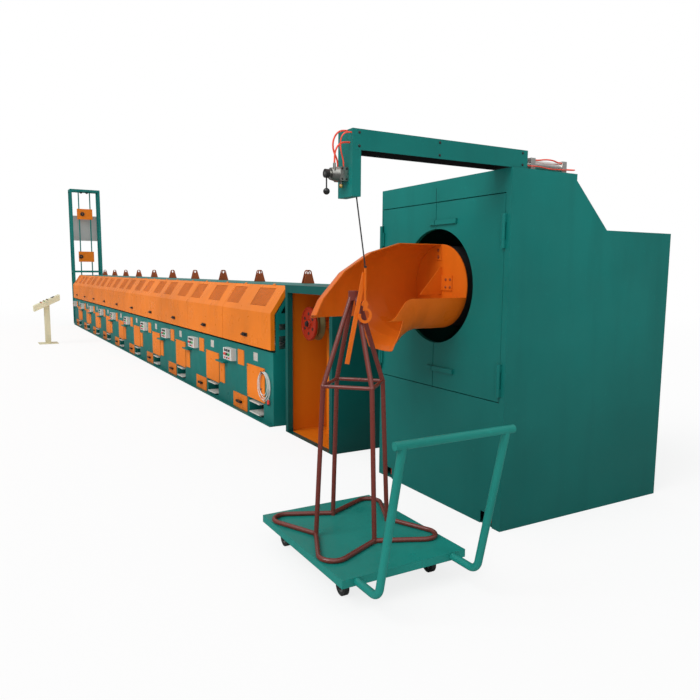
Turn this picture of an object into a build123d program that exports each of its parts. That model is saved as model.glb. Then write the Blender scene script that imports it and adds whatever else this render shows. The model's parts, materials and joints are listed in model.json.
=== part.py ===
from build123d import *
import os
from math import atan2, cos, degrees, pi, radians, sin, tan

# Straight wire drawing line with a pulley box, a coiler with its chute, a coil trolley, an entry
# tower and a control desk. Millimetres, X along the line towards the coiler, Y away from the
# operator, Z up. The origin is on the floor, below the axis of the last drawing block.

# Sheet metal and running fits
sheet = 6.0
plate = 12.0
running_fit = 0.05
seat_gap = 0.3
panel_gap = 6.0

# Drawing line
block_pitch = 1600.0
entry_blocks = 6
exit_blocks = 4
base_depth = 900.0
base_height = 835.0
skid_width = 50.0
skid_height = 14.0

# Safety hoods over the blocks
hood_front_stand = 28.0
hood_bottom = 864.0
hood_bend = 1276.0
hood_top = 1590.0
hood_slope_run = 208.0
hood_flange = 50.0
hood_joint = 10.0
hinge_rod_radius = 6.0
hinge_ring_radius = 12.0
hinge_ring_length = 60.0
hinge_ring_offset = 450.0
hood_handle_width = 180.0
hood_handle_height = 44.0
hood_handle_plate = 6.0
hood_grip_width = 120.0
hood_grip_height = 18.0
hood_grip_depth = 32.0
hood_handle_z = 980.0
window_height = 240.0
window_rise = 83.0
exit_window_x = 315.0
exit_window_width = 480.0
entry_window_x = -540.0
entry_window_width = 430.0
end_border = 40.0
end_bar_high_z = 1216.0
end_bar_high = 120.0
end_bar_low_z = 1055.0
end_bar_low = 70.0

# Drawing capstans
capstan_radius = 270.0
capstan_height = 300.0
capstan_flange = 30.0
capstan_y = -20.0

# Doors and controls on each block, measured from the block's axis
panel_thickness = 8.0
door_x = 285.0
door_z = 425.0
door_width = 550.0
door_height = 405.0
side_door_x = 690.0
side_door_z = 385.0
side_door_width = 190.0
side_door_height = 270.0
valve_door_x = -197.0
valve_door_z = 675.0
valve_door_width = 210.0
valve_door_height = 190.0
drawer_x = -243.0
drawer_z = 112.0
drawer_width = 480.0
drawer_height = 190.0
drawer_pull_width = 150.0
drawer_pull_height = 28.0
drawer_pull_depth = 32.0
control_x = -523.0
control_z = 682.0
control_width = 300.0
control_height = 150.0
control_depth = 70.0
button_radius = 16.0
button_height = 18.0
ledge_x = -850.0
ledge_z = 560.0
ledge_width = 300.0
ledge_depth = 70.0
ledge_height = 20.0
recess_x = 289.0
recess_z = 124.0
recess_width = 450.0
recess_height = 180.0
recess_depth = 160.0
pedal_width = 300.0
pedal_depth = 190.0
pedal_thickness = 14.0
pedal_low_z = 60.0
pedal_high_z = 190.0

# Lifting lugs on the roof
lug_height = 170.0
lug_width = 150.0
lug_gap = 60.0
lug_hole_radius = 25.0
lug_y = 380.0

# Pulley box between the line and the coiler
box_x = 1060.0
box_length = 1053.0
box_depth = 800.0
box_height = 1595.0
box_front_y = -419.0
box_post = 60.0
box_lintel = 80.0
sheave_x = 1383.0
sheave_z = 1200.0
sheave_radius = 175.0
sheave_groove = 18.0
sheave_width = 110.0
sheave_front_y = -300.0
sheave_cap = 16.0
axle_radius = 22.0
bearing_radius = 60.0
column_width = 80.0
column_depth = 90.0
column_y = -20.0
bracket_width = 200.0
bracket_depth = 130.0
bracket_height = 190.0
bracket_z = 760.0

# Coiler cabinet
cabinet_x = 2795.0
cabinet_length = 1505.0
cabinet_front_y = -320.0
cabinet_height = 2400.0
cabinet_top_depth = 586.0
cabinet_step_depth = 911.0
cabinet_depth = 1633.0
cabinet_step_drop = 362.0
cabinet_lip = 43.0
doorway_left = 15.0
doorway_right = 50.0
doorway_height = 1375.0
doorway_header = 150.0
door_split_x = 3525.0
leaf_thickness = 30.0
mouth_x = 3535.0
mouth_drop = 765.0
mouth_radius = 420.0
notch_width = 120.0
notch_height = 90.0
notch_offset = 137.0
foot_size = 70.0
foot_setback = 50.0
foot_height = 60.0
knuckle_radius = 14.0
knuckle_pin = 7.0
knuckle_length = 110.0
knuckle_low_rise = 153.0
knuckle_high_drop = 246.0
latch_height = 34.0
latch_depth = 16.0
latch_length = 240.0
latch_catch = 60.0
latch_low_rise = 145.0
latch_high_drop = 150.0

# Laying chute
chute_radius = 310.0
chute_sheet = 8.0
chute_bend_y = -520.0
chute_bend_radius = 580.0
chute_segments = 4
chute_bend_angle = 64.0
chute_lip_drop = 225.0
chute_rim_drop = 75.0
chute_rim_end = -730.0
chute_lip_start = -950.0
chute_trough_end = -800.0
chute_root_y = -280.0
drum_radius = 300.0
drum_length = 760.0

# Hoist beam over the cabinet
beam_x = 4129.0
beam_width = 161.0
beam_height = 112.0
beam_reach = 1163.0
beam_tail = 134.0
head_depth = 55.0
head_drop = 250.0
cylinder_radius = 34.0
cylinder_length = 330.0
cylinder_cap = 40.0
cylinder_gap = 70.0
rope_radius = 4.0
rope_top_y = -1440.0
rope_lean = 62.0
rope_fall = 390.0
hook_radius = 45.0
hook_bar = 10.0
bar_length = 530.0
bar_width = 26.0
bar_thickness = 8.0
bar_lean = 12.0
valve_drop = 128.0
valve_block = 76.0
valve_block_depth = 50.0
valve_dome_radius = 42.0
valve_dome_depth = 44.0
valve_dome_taper = 12.0
valve_neck_radius = 16.0
valve_neck_length = 12.0
valve_boss_radius = 8.0
valve_boss_height = 55.0
valve_boss_x = 26.0
valve_boss_y = 82.0
fitting_radius = 10.0
fitting_height = 34.0
lever_hub_radius = 24.0
lever_hub_length = 22.0
lever_length = 96.0
lever_radius = 4.0
knob_radius = 13.0

# Trolley
deck_x = 3690.0
deck_y = -1780.0
deck_length = 1035.0
deck_width = 800.0
deck_height = 185.0
deck_thickness = 45.0
wheel_radius = 50.0
wheel_width = 30.0
caster_trail = 38.0
caster_inset_x = 150.0
caster_inset_y = 110.0
caster_axle = 7.0
caster_pin = 10.0
fork_wall = 5.0
fork_gap = 3.0
fork_half = 24.0
tube_radius = 21.0
handle_out = 200.0
handle_lean = 185.0
handle_height = 970.0
handle_bend = 70.0
handle_inset = 90.0
handle_overhang = 45.0

# Coil stand
stand_x = 4155.0
stand_y = -1385.0
stand_tube = 14.0
stand_brace = 11.0
stand_foot_radius = 250.0
lobe_corner_radius = 655.0
lobe_bend = 80.0
stand_bend_radius = 205.0
stand_leg_reach = 520.0
stand_apex_drop = 35.0
stand_apex_radius = 20.0
stand_knee = 15.5

# Entry tower
tower_gap = 50.0
tower_length = 450.0
tower_width = 900.0
tower_height = 4300.0
tower_post = 60.0
tower_rail_z = 1670.0
guide_radius = 18.0
guide_half = 170.0
carriage_width = 460.0
carriage_height = 330.0
carriage_depth = 90.0
carriage_high_drop = 760.0
carriage_low_z = 2180.0
carriage_wheel_radius = 60.0
carriage_wheel_width = 30.0
tower_wheel_radius = 45.0
tower_wheel_width = 24.0
tower_wheel_half = 90.0
back_sheet_drop = 800.0
back_sheet_height = 800.0

# Control desk
desk_x = -9550.0
desk_y = -1800.0
desk_width = 400.0
desk_depth = 560.0
desk_thickness = 130.0
desk_tilt = 25.0
desk_height = 1030.0
desk_post = 120.0
desk_foot = 420.0
desk_foot_height = 14.0

# Loose coil of control cable on the last base
coil_x = 577.0
coil_z = 422.0
coil_radius = 165.0
coil_wire = 10.0
coil_stack = 44.0
plug_radius = 20.0
plug_length = 60.0
plug_turn = 40.0
hose_radius = 5.0
thin_hose_radius = 4.0

# Values worked out from the sizes above
blocks = entry_blocks + exit_blocks
line_exit = block_pitch / 2
line_split = line_exit - exit_blocks * block_pitch
line_entry = line_exit - blocks * block_pitch
base_front = -base_depth / 2
hood_front = base_front - hood_front_stand
hood_slope = degrees(atan2(hood_top - hood_bend, hood_slope_run))
hinge_y = hood_front + hood_slope_run
hinge_z = hood_top - hinge_ring_radius / 2
roof_front = hinge_y + hinge_ring_radius + panel_gap
box_back_y = box_front_y + box_depth
cabinet_end_x = cabinet_x + cabinet_length
cabinet_low_height = cabinet_height - cabinet_step_drop
doorway_top = cabinet_height - doorway_header
doorway_bottom = doorway_top - doorway_height
mouth_z = cabinet_height - mouth_drop
stand_apex_z = mouth_z - stand_apex_drop
stand_bend_z = stand_apex_z - stand_leg_reach
knuckle_low_z = doorway_bottom + knuckle_low_rise
knuckle_high_z = doorway_top - knuckle_high_drop
valve_z = cabinet_height - valve_drop
hook_top_z = cabinet_height - head_drop - rope_fall
door_left_x = cabinet_x + doorway_left
door_right_x = cabinet_end_x - doorway_right
beam_head_y = cabinet_front_y - beam_reach
deck_end_x = deck_x + deck_length


def write(piece, label):
    piece.part.label = label
    export_step(piece.part, f"parts/{label}.step")


def block_axis(index):
    return -index * block_pitch


def hood_line(inset, bottom):
    """Points of the hood's front and slope, set in from the outside by an amount."""
    turn = radians(90 - hood_slope)
    rise = hood_top - hood_bend
    lean = radians(hood_slope)
    return [
        (hood_front + inset, bottom),
        (hood_front + inset, hood_bend - inset * tan(turn / 2)),
        (hinge_y + inset * sin(lean), hood_bend + rise - inset * cos(lean)),
    ]


os.makedirs("parts", exist_ok=True)

# Bases: one run of blocks at the entry and one at the exit
base_runs = {
    "base_exit": (line_split + seat_gap / 2, line_exit, range(exit_blocks)),
    "base_entry": (line_entry, line_split - seat_gap / 2, range(exit_blocks, blocks)),
}
for name, (low_x, high_x, run) in base_runs.items():
    with BuildPart() as base:
        with BuildSketch(Plane.YZ.offset(low_x)):
            with Locations((0, base_height / 2)):
                Rectangle(base_depth, base_height)
            with Locations((base_front - skid_width / 2, skid_height / 2)):
                Rectangle(skid_width, skid_height)
        extrude(amount=high_x - low_x)
        for index in run:
            with Locations((block_axis(index) + recess_x, base_front + recess_depth / 2, recess_z)):
                Box(recess_width, recess_depth, recess_height, mode=Mode.SUBTRACT)
        for index in run:
            if block_axis(index) + ledge_x - ledge_width / 2 > low_x:
                with Locations((block_axis(index) + ledge_x, base_front, ledge_z)):
                    Box(ledge_width, ledge_depth, ledge_height, align=(Align.CENTER, Align.MAX, Align.MAX))
    write(base, name)

# Housings: back wall, roof, frames between blocks and the hinge rods
frame_line = hood_line(hood_flange + 2 * sheet, base_height)
housing_runs = {
    "housing_exit": (line_split + seat_gap / 2, line_exit, range(exit_blocks)),
    "housing_entry": (line_entry, line_split - seat_gap / 2, range(exit_blocks, blocks)),
}
for name, (low_x, high_x, run) in housing_runs.items():
    with BuildPart() as housing:
        with Locations(((low_x + high_x) / 2, base_depth / 2 - sheet / 2, (base_height + hood_top) / 2)):
            Box(high_x - low_x, sheet, hood_top - base_height)
        with Locations(((low_x + high_x) / 2, (roof_front + base_depth / 2) / 2, hood_top - sheet / 2)):
            Box(high_x - low_x, base_depth / 2 - roof_front, sheet)
        frame_places = [low_x, high_x - plate]
        frame_places += [block_axis(index) - block_pitch / 2 - plate / 2 for index in run][:-1]
        for frame_x in frame_places:
            with BuildSketch(Plane.YZ.offset(frame_x)):
                with BuildLine():
                    Polyline(*frame_line, (base_depth / 2, hood_top - sheet), (base_depth / 2, base_height),
                             close=True)
                make_face()
            extrude(amount=plate)
        if high_x == line_exit:
            with BuildSketch(Plane.YZ.offset(high_x - plate)):
                with BuildLine():
                    Polyline(*frame_line, (base_depth / 2, hood_top - sheet), (base_depth / 2, base_height),
                             close=True)
                make_face()
                offset(amount=-end_border, mode=Mode.REPLACE)
            extrude(amount=plate, mode=Mode.SUBTRACT)
            for bar_z, bar_high in ((end_bar_high_z, end_bar_high), (end_bar_low_z, end_bar_low)):
                with Locations((high_x - plate / 2, (frame_line[0][0] + base_depth / 2) / 2, bar_z)):
                    Box(plate, base_depth / 2 - frame_line[0][0], bar_high)
        for index in run:
            with Locations(Plane.YZ.offset(block_axis(index))):
                with Locations((hinge_y, hinge_z)):
                    Cylinder(hinge_rod_radius, block_pitch - 4 * panel_gap)
            for side in (-1, 1):
                tab_x = block_axis(index) + side * (hinge_ring_offset - hinge_ring_length - panel_gap)
                with Locations((tab_x, (hinge_y + roof_front) / 2 + panel_gap / 2, hood_top - sheet / 2)):
                    Box(hinge_ring_length, roof_front - hinge_y + panel_gap, sheet)
    write(housing, name)

# Hoods: bent sheet with end flanges, hung on two rings from the hinge rod
sheet_profile = hood_line(0, hood_bottom) + hood_line(sheet, hood_bottom)[::-1]
flange_profile = hood_line(0, hood_bottom) + hood_line(hood_flange, hood_bottom)[::-1]
hood_length = block_pitch - hood_joint
for index in range(blocks):
    hood_x = block_axis(index)
    with BuildPart() as hood:
        with BuildSketch(Plane.YZ.offset(hood_x - hood_length / 2)):
            with BuildLine():
                Polyline(*sheet_profile, close=True)
            make_face()
        extrude(amount=hood_length)
        for flange_x in (hood_x - hood_length / 2, hood_x + hood_length / 2 - sheet):
            with BuildSketch(Plane.YZ.offset(flange_x)):
                with BuildLine():
                    Polyline(*flange_profile, close=True)
                make_face()
            extrude(amount=sheet)
        for side in (-1, 1):
            with Locations(Plane.YZ.offset(hood_x + side * hinge_ring_offset)):
                with Locations((hinge_y, hinge_z)):
                    Cylinder(hinge_ring_radius, hinge_ring_length)
        with Locations(Plane.YZ.offset(hood_x)):
            with Locations((hinge_y, hinge_z)):
                Cylinder(hinge_rod_radius + running_fit, block_pitch, mode=Mode.SUBTRACT)
        with Locations((hood_x, hinge_y + hinge_ring_radius, hinge_z)):
            Box(2 * (hinge_ring_offset - hinge_ring_length / 2), 2 * hinge_ring_radius,
                3 * hinge_ring_radius, mode=Mode.SUBTRACT)
        with BuildSketch(Plane.XZ.offset(-hood_front)):
            with Locations((hood_x, hood_handle_z)):
                RectangleRounded(hood_handle_width, hood_handle_height, hood_handle_height / 4)
        extrude(amount=hood_handle_plate)
        with BuildSketch(Plane.XZ.offset(hood_handle_plate - hood_front)):
            with Locations((hood_x, hood_handle_z)):
                SlotOverall(hood_grip_width, hood_grip_height)
        extrude(amount=hood_grip_depth - hood_handle_plate)
        slope_plane = Plane(origin=(hood_x, hood_front, hood_bend), x_dir=(1, 0, 0),
                            z_dir=(0, -sin(radians(hood_slope)), cos(radians(hood_slope))))
        with BuildSketch(slope_plane):
            for window_x, window_width in ((exit_window_x, exit_window_width),
                                           (entry_window_x, entry_window_width)):
                with Locations((window_x, window_rise + window_height / 2)):
                    Rectangle(window_width, window_height)
        extrude(amount=-2 * sheet, mode=Mode.SUBTRACT)
    write(hood, f"hood_{blocks - index:02d}")

# Drawing capstans under the hoods
with BuildPart() as capstans:
    with BuildSketch(Plane.XZ) as capstan_half:
        with BuildLine():
            Polyline((0, base_height), (capstan_radius + capstan_flange, base_height),
                     (capstan_radius + capstan_flange, base_height + capstan_flange),
                     (capstan_radius, base_height + 2 * capstan_flange),
                     (capstan_radius, base_height + capstan_height),
                     (0, base_height + capstan_height), close=True)
        make_face()
    revolve(axis=Axis.Z)
capstan = capstans.part
with BuildPart() as capstan_row:
    with Locations([(block_axis(index), capstan_y, 0) for index in range(blocks)]):
        add(capstan)
write(capstan_row, "capstans")

# Doors on the base front
with BuildPart() as access_doors:
    for index in range(blocks):
        with Locations((block_axis(index) + door_x, base_front - panel_thickness / 2, door_z)):
            Box(door_width, panel_thickness, door_height)
        with Locations((block_axis(index) + valve_door_x, base_front - panel_thickness / 2, valve_door_z)):
            Box(valve_door_width, panel_thickness, valve_door_height)
    for index in range(1, blocks):
        with Locations((block_axis(index) + side_door_x, base_front - panel_thickness / 2, side_door_z)):
            Box(side_door_width, panel_thickness, side_door_height)
write(access_doors, "access_doors")

with BuildPart() as drawers:
    for index in range(blocks):
        with Locations((block_axis(index) + drawer_x, base_front - panel_thickness / 2, drawer_z)):
            Box(drawer_width, panel_thickness, drawer_height)
        pull_y = base_front - panel_thickness - drawer_pull_depth / 2
        with Locations((block_axis(index) + drawer_x, pull_y, drawer_z)):
            Box(drawer_pull_width, drawer_pull_depth, drawer_pull_height)
write(drawers, "drawers")

with BuildPart() as control_boxes:
    for index in range(blocks):
        control_y = base_front - control_depth / 2
        with Locations((block_axis(index) + control_x, control_y, control_z)):
            Box(control_width, control_depth, control_height)
        button_plane = Plane.XZ.offset(control_depth - base_front)
        with Locations(button_plane):
            with Locations([(block_axis(index) + control_x + step * control_width / 4, control_z)
                            for step in (-1, 0, 1)]):
                Cylinder(button_radius, button_height, align=(Align.CENTER, Align.CENTER, Align.MIN))
write(control_boxes, "control_boxes")

with BuildPart() as pedals:
    for index in range(blocks):
        pedal_y = base_front + recess_depth - pedal_depth / 2
        for pedal_z in (pedal_low_z, pedal_high_z):
            with Locations((block_axis(index) + recess_x, pedal_y, pedal_z)):
                Box(pedal_width, pedal_depth, pedal_thickness)
write(pedals, "pedals")

# Lifting lugs: pairs of pierced triangular ears
with BuildPart() as lugs:
    for index in range(blocks):
        for side in (-1, 1):
            ear_x = block_axis(index) + side * lug_gap / 2 - plate / 2
            eye_z = hood_top + lug_height - lug_width / 4
            with BuildSketch(Plane.YZ.offset(ear_x)):
                with BuildLine():
                    Polyline((lug_y - lug_width / 2, hood_top), (lug_y - lug_width / 4, eye_z),
                             (lug_y + lug_width / 4, eye_z), (lug_y + lug_width / 2, hood_top), close=True)
                make_face()
                with Locations((lug_y, eye_z)):
                    Circle(lug_width / 4)
                    Circle(lug_hole_radius, mode=Mode.SUBTRACT)
            extrude(amount=plate)
write(lugs, "lifting_lugs")

# Pulley box: a frame with an open front
with BuildPart() as pulley_box:
    box_middle_x = box_x + box_length / 2
    box_middle_y = (box_front_y + box_back_y) / 2
    with Locations((box_middle_x, box_middle_y, box_height / 2)):
        Box(box_length, box_depth, box_height)
    with Locations((box_middle_x, (box_front_y + box_post + box_back_y - sheet) / 2, box_height / 2)):
        Box(box_length - 2 * sheet, box_depth - box_post - sheet, box_height - 2 * sheet,
            mode=Mode.SUBTRACT)
    with Locations((box_middle_x, box_front_y, (box_height - box_lintel + sheet) / 2)):
        Box(box_length - 2 * box_post, 2 * box_post, box_height - box_lintel - sheet, mode=Mode.SUBTRACT)
    axle_end = sheave_front_y - sheet
    bearing_y = sheave_front_y + sheave_width + seat_gap
    with Locations(Plane.XZ.offset(-bearing_y)):
        with Locations((sheave_x, sheave_z)):
            Cylinder(axle_radius, bearing_y - axle_end, align=(Align.CENTER, Align.CENTER, Align.MIN))
            Cylinder(bearing_radius, column_y - bearing_y + column_depth / 2,
                     align=(Align.CENTER, Align.CENTER, Align.MAX))
    with Locations((sheave_x, column_y, sheet)):
        Box(column_width, column_depth, sheave_z + bearing_radius - sheet,
            align=(Align.CENTER, Align.CENTER, Align.MIN))
    with Locations((sheave_x + column_width / 2, column_y, bracket_z)):
        Box(bracket_width, bracket_depth, bracket_height, align=(Align.MIN, Align.CENTER, Align.MIN))
    with Locations((sheave_x, box_back_y - sheet, sheave_z - bearing_radius)):
        Box(column_width / 2, box_back_y - sheet - column_y, column_width,
            align=(Align.CENTER, Align.MAX, Align.MIN))
write(pulley_box, "pulley_box")

with BuildPart() as sheave:
    with BuildSketch(Plane.XY):
        with BuildLine():
            inner = axle_radius + running_fit
            Polyline((inner, sheave_cap), (sheave_radius, sheave_cap),
                     (sheave_radius, sheave_cap + sheave_groove / 2),
                     (sheave_radius - sheave_groove, sheave_width / 2),
                     (sheave_radius, sheave_width - sheave_groove / 2), (sheave_radius, sheave_width),
                     (inner, sheave_width), close=True)
        make_face()
    revolve(axis=Axis.Y)
sheave_body = Location((sheave_x, sheave_front_y, sheave_z)) * sheave.part
with BuildPart() as sheave_placed:
    add(sheave_body)
write(sheave_placed, "sheave")

with BuildPart() as sheave_face:
    with Locations(Plane.XZ.offset(-sheave_front_y - sheave_cap)):
        with Locations((sheave_x, sheave_z)):
            Cylinder(sheave_radius, sheave_cap, align=(Align.CENTER, Align.CENTER, Align.MIN))
            Cylinder(axle_radius + running_fit, sheave_cap,
                     align=(Align.CENTER, Align.CENTER, Align.MIN), mode=Mode.SUBTRACT)
write(sheave_face, "sheave_face")

# Coiler cabinet: sheet shell, its doorway and the pins of its door hinges
cabinet_back_y = cabinet_front_y + cabinet_depth
cabinet_outline = [
    (cabinet_front_y, 0),
    (cabinet_front_y, cabinet_height),
    (cabinet_front_y + cabinet_top_depth, cabinet_height),
    (cabinet_front_y + cabinet_top_depth, cabinet_height - cabinet_lip),
    (cabinet_front_y + cabinet_step_depth, cabinet_low_height),
    (cabinet_back_y, cabinet_low_height),
    (cabinet_back_y, 0),
]
with BuildPart() as cabinet:
    with BuildSketch(Plane.YZ.offset(cabinet_x)):
        with BuildLine():
            Polyline(*cabinet_outline, close=True)
        make_face()
    extrude(amount=cabinet_length)
    with BuildSketch(Plane.YZ.offset(cabinet_x + sheet)):
        with BuildLine():
            Polyline(*cabinet_outline, close=True)
        make_face()
        offset(amount=-sheet, mode=Mode.REPLACE)
    extrude(amount=cabinet_length - 2 * sheet, mode=Mode.SUBTRACT)
    door_middle_x = (door_left_x + door_right_x) / 2
    with Locations((door_middle_x, cabinet_front_y, (doorway_bottom + doorway_top) / 2)):
        Box(door_right_x - door_left_x, 4 * sheet, doorway_top - doorway_bottom, mode=Mode.SUBTRACT)
    for notch_x in (cabinet_x + notch_offset, cabinet_end_x - notch_offset):
        with Locations((notch_x, cabinet_front_y, notch_height / 2)):
            Box(notch_width, 4 * sheet, notch_height, mode=Mode.SUBTRACT)
    pin_y = cabinet_front_y - knuckle_radius
    for pin_x, tab_side in ((door_left_x, -1), (door_right_x, 1)):
        for pin_z in (knuckle_low_z, knuckle_high_z):
            with Locations((pin_x, pin_y, pin_z)):
                Cylinder(knuckle_pin, 2 * knuckle_length)
            for end in (-1, 1):
                end_z = pin_z + end * (knuckle_length * 3 / 4 + seat_gap / 2)
                with Locations((pin_x, pin_y, end_z)):
                    Cylinder(knuckle_radius, knuckle_length / 2 - seat_gap)
                with Locations((pin_x + tab_side * knuckle_radius / 2, (pin_y + cabinet_front_y) / 2, end_z)):
                    Box(knuckle_radius, knuckle_radius, knuckle_length / 2 - seat_gap)
write(cabinet, "cabinet")

# Cabinet doors: two leaves that meet on the mouth of the coiler
leaf_spans = {
    "door_left": (door_left_x + seat_gap * 10, door_split_x - panel_gap / 2, door_left_x, 1),
    "door_right": (door_split_x + panel_gap / 2, door_right_x - seat_gap * 10, door_right_x, -1),
}
for name, (low_x, high_x, pin_x, inward) in leaf_spans.items():
    with BuildPart() as leaf:
        with Locations(((low_x + high_x) / 2, cabinet_front_y + leaf_thickness / 2,
                        (doorway_bottom + doorway_top) / 2)):
            Box(high_x - low_x, leaf_thickness, doorway_top - doorway_bottom - 2 * panel_gap)
        with Locations(Plane.XZ.offset(-cabinet_front_y)):
            with Locations((mouth_x, mouth_z)):
                Cylinder(mouth_radius, 3 * leaf_thickness, mode=Mode.SUBTRACT)
        latch_align = Align.MAX if inward > 0 else Align.MIN
        for latch_z in (doorway_bottom + latch_low_rise, doorway_top - latch_high_drop):
            with Locations((door_split_x - inward * panel_gap / 2, cabinet_front_y, latch_z)):
                Box(latch_catch if inward > 0 else latch_length, latch_depth, latch_height,
                    align=(latch_align, Align.MAX, Align.CENTER))
        for pin_z in (knuckle_low_z, knuckle_high_z):
            with Locations((pin_x, pin_y, pin_z)):
                Cylinder(knuckle_radius, knuckle_length - seat_gap)
            with Locations((pin_x + inward * (knuckle_radius + seat_gap * 10), cabinet_front_y, pin_z)):
                Box(2 * knuckle_radius, 2 * knuckle_radius, knuckle_length - seat_gap)
        for pin_z in (knuckle_low_z, knuckle_high_z):
            with Locations((pin_x, pin_y, pin_z)):
                Cylinder(knuckle_pin + running_fit, 2 * knuckle_length, mode=Mode.SUBTRACT)
            with Locations((pin_x - inward * knuckle_radius, cabinet_front_y + knuckle_radius, pin_z)):
                Box(2 * knuckle_radius, 2 * knuckle_radius, knuckle_length, mode=Mode.SUBTRACT)
    write(leaf, name)

with BuildPart() as feet:
    foot_front_y = cabinet_front_y + sheet + foot_setback
    for foot_x in (cabinet_x + notch_offset, cabinet_end_x - notch_offset):
        with Locations((foot_x, foot_front_y + foot_size / 2, sheet + foot_height / 2)):
            Box(foot_size, foot_size, foot_height)
write(feet, "feet")

# Drum and its pedestal inside the cabinet
drum_front_y = chute_root_y + chute_sheet
with BuildPart() as drum:
    with Locations(Plane.XZ.offset(-drum_front_y)):
        with Locations((mouth_x, mouth_z)):
            Cylinder(drum_radius, drum_length, align=(Align.CENTER, Align.CENTER, Align.MAX))
write(drum, "drum")

with BuildPart() as pedestal:
    pedestal_front_y = drum_front_y + drum_length
    pedestal_depth = cabinet_back_y - sheet - seat_gap - pedestal_front_y
    with Locations((mouth_x, pedestal_front_y + pedestal_depth / 2, sheet)):
        Box(2 * drum_radius, pedestal_depth, mouth_z + drum_radius / 2 - sheet,
            align=(Align.CENTER, Align.CENTER, Align.MIN))
write(pedestal, "drum_pedestal")

# Laying chute: a mitred elbow, open on the trolley's side and below
chute_step = radians(chute_bend_angle / chute_segments)
chute_centre_z = mouth_z - chute_bend_radius
corner_radius = chute_bend_radius / cos(chute_step / 2)
chute_path = [(mouth_x, chute_root_y, mouth_z)]
for number in range(chute_segments):
    angle = (number + 0.5) * chute_step
    chute_path.append((mouth_x, chute_bend_y - corner_radius * sin(angle),
                       chute_centre_z + corner_radius * cos(angle)))
last = radians(chute_bend_angle)
chute_path.append((mouth_x, chute_bend_y - chute_bend_radius * sin(last),
                   chute_centre_z + chute_bend_radius * cos(last)))
with BuildPart() as chute:
    with BuildLine() as centre_line:
        Polyline(*chute_path)
    with BuildSketch(Plane.XZ.offset(-chute_root_y)):
        with Locations((mouth_x, mouth_z)):
            Circle(chute_radius)
            Circle(chute_radius - chute_sheet, mode=Mode.SUBTRACT)
    sweep(path=centre_line.wires()[0], transition=Transition.RIGHT)
    lip_z = mouth_z - chute_lip_drop
    rim_z = mouth_z - chute_rim_drop
    beyond_y = chute_bend_y - 2 * chute_bend_radius
    with Locations((mouth_x, chute_trough_end, lip_z)):
        Box(4 * chute_radius, chute_trough_end - beyond_y, 2 * chute_radius,
            align=(Align.CENTER, Align.MAX, Align.MAX), mode=Mode.SUBTRACT)
    with BuildSketch(Plane.YZ.offset(mouth_x)):
        with BuildLine():
            Spline((chute_rim_end, rim_z), (chute_lip_start, lip_z), tangents=[(-1, 0), (-1, 0)])
            Polyline((chute_lip_start, lip_z), (beyond_y, lip_z), (beyond_y, mouth_z + 2 * chute_radius),
                     (chute_root_y, mouth_z + 2 * chute_radius), (chute_root_y, rim_z),
                     (chute_rim_end, rim_z))
        make_face()
    extrude(amount=2 * chute_radius, mode=Mode.SUBTRACT)
write(chute, "chute")

with BuildPart() as chute_root:
    with Locations(Plane.XZ.offset(-chute_root_y)):
        with Locations((mouth_x, mouth_z)):
            Cylinder(chute_radius, chute_sheet, align=(Align.CENTER, Align.CENTER, Align.MAX))
write(chute_root, "chute_root")

# Hoist beam: a channel open below, with a head box at its end
beam_length = beam_reach + beam_tail
with BuildPart() as beam:
    with Locations((beam_x + beam_width / 2, beam_head_y + beam_length / 2, cabinet_height)):
        Box(beam_width, beam_length, beam_height, align=(Align.CENTER, Align.CENTER, Align.MIN))
    with Locations((beam_x + beam_width / 2, beam_head_y + beam_reach / 2, cabinet_height)):
        Box(beam_width - 2 * sheet, beam_reach - 2 * sheet, beam_height - sheet,
            align=(Align.CENTER, Align.CENTER, Align.MIN), mode=Mode.SUBTRACT)
write(beam, "beam")

head_bottom = cabinet_height - head_drop
with BuildPart() as beam_head:
    with Locations((beam_x + beam_width / 2, beam_head_y, cabinet_height)):
        Box(beam_width, head_depth, head_drop, align=(Align.CENTER, Align.MIN, Align.MAX))
write(beam_head, "beam_head")

with BuildPart() as air_cylinder:
    cylinder_y = cabinet_front_y + beam_tail + cylinder_gap
    cylinder_x = beam_x + beam_width / 2
    cylinder_z = cabinet_height + cylinder_radius * 1.2
    with Locations(Plane.XZ.offset(-cylinder_y)):
        with Locations((cylinder_x, cylinder_z)):
            Cylinder(cylinder_radius, cylinder_length, align=(Align.CENTER, Align.CENTER, Align.MAX))
            Cylinder(cylinder_radius / 3, cylinder_gap, align=(Align.CENTER, Align.CENTER, Align.MIN))
    for cap_y in (cylinder_y + cylinder_cap / 2, cylinder_y + cylinder_length - cylinder_cap / 2):
        with Locations((cylinder_x, cap_y, cylinder_z)):
            Box(2.4 * cylinder_radius, cylinder_cap, 2.4 * cylinder_radius)
write(air_cylinder, "air_cylinder")

# Rope, hook and guide bar below the head box
rope_x = beam_x + beam_width * 5 / 6
rope_bottom_y = rope_top_y + rope_lean
rope_drop = Vector(0, rope_lean, hook_top_z - head_bottom)
with BuildPart() as rope:
    with BuildSketch(Plane(origin=(rope_x, rope_top_y, head_bottom), z_dir=rope_drop)):
        Circle(rope_radius)
    extrude(amount=rope_drop.length)
    with Locations((rope_x, rope_bottom_y, hook_top_z)):
        Box(3 * rope_radius, 3 * rope_radius, 3 * rope_radius, align=(Align.CENTER, Align.CENTER, Align.MIN))
    with Locations((rope_x, rope_top_y, head_bottom)):
        Box(6 * rope_radius, 6 * rope_radius, 3 * rope_radius,
            align=(Align.CENTER, Align.CENTER, Align.MIN), mode=Mode.SUBTRACT)
    with Locations((rope_x, rope_bottom_y, hook_top_z)):
        Box(6 * rope_radius, 6 * rope_radius, 3 * rope_radius,
            align=(Align.CENTER, Align.CENTER, Align.MAX), mode=Mode.SUBTRACT)
write(rope, "rope")

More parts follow.
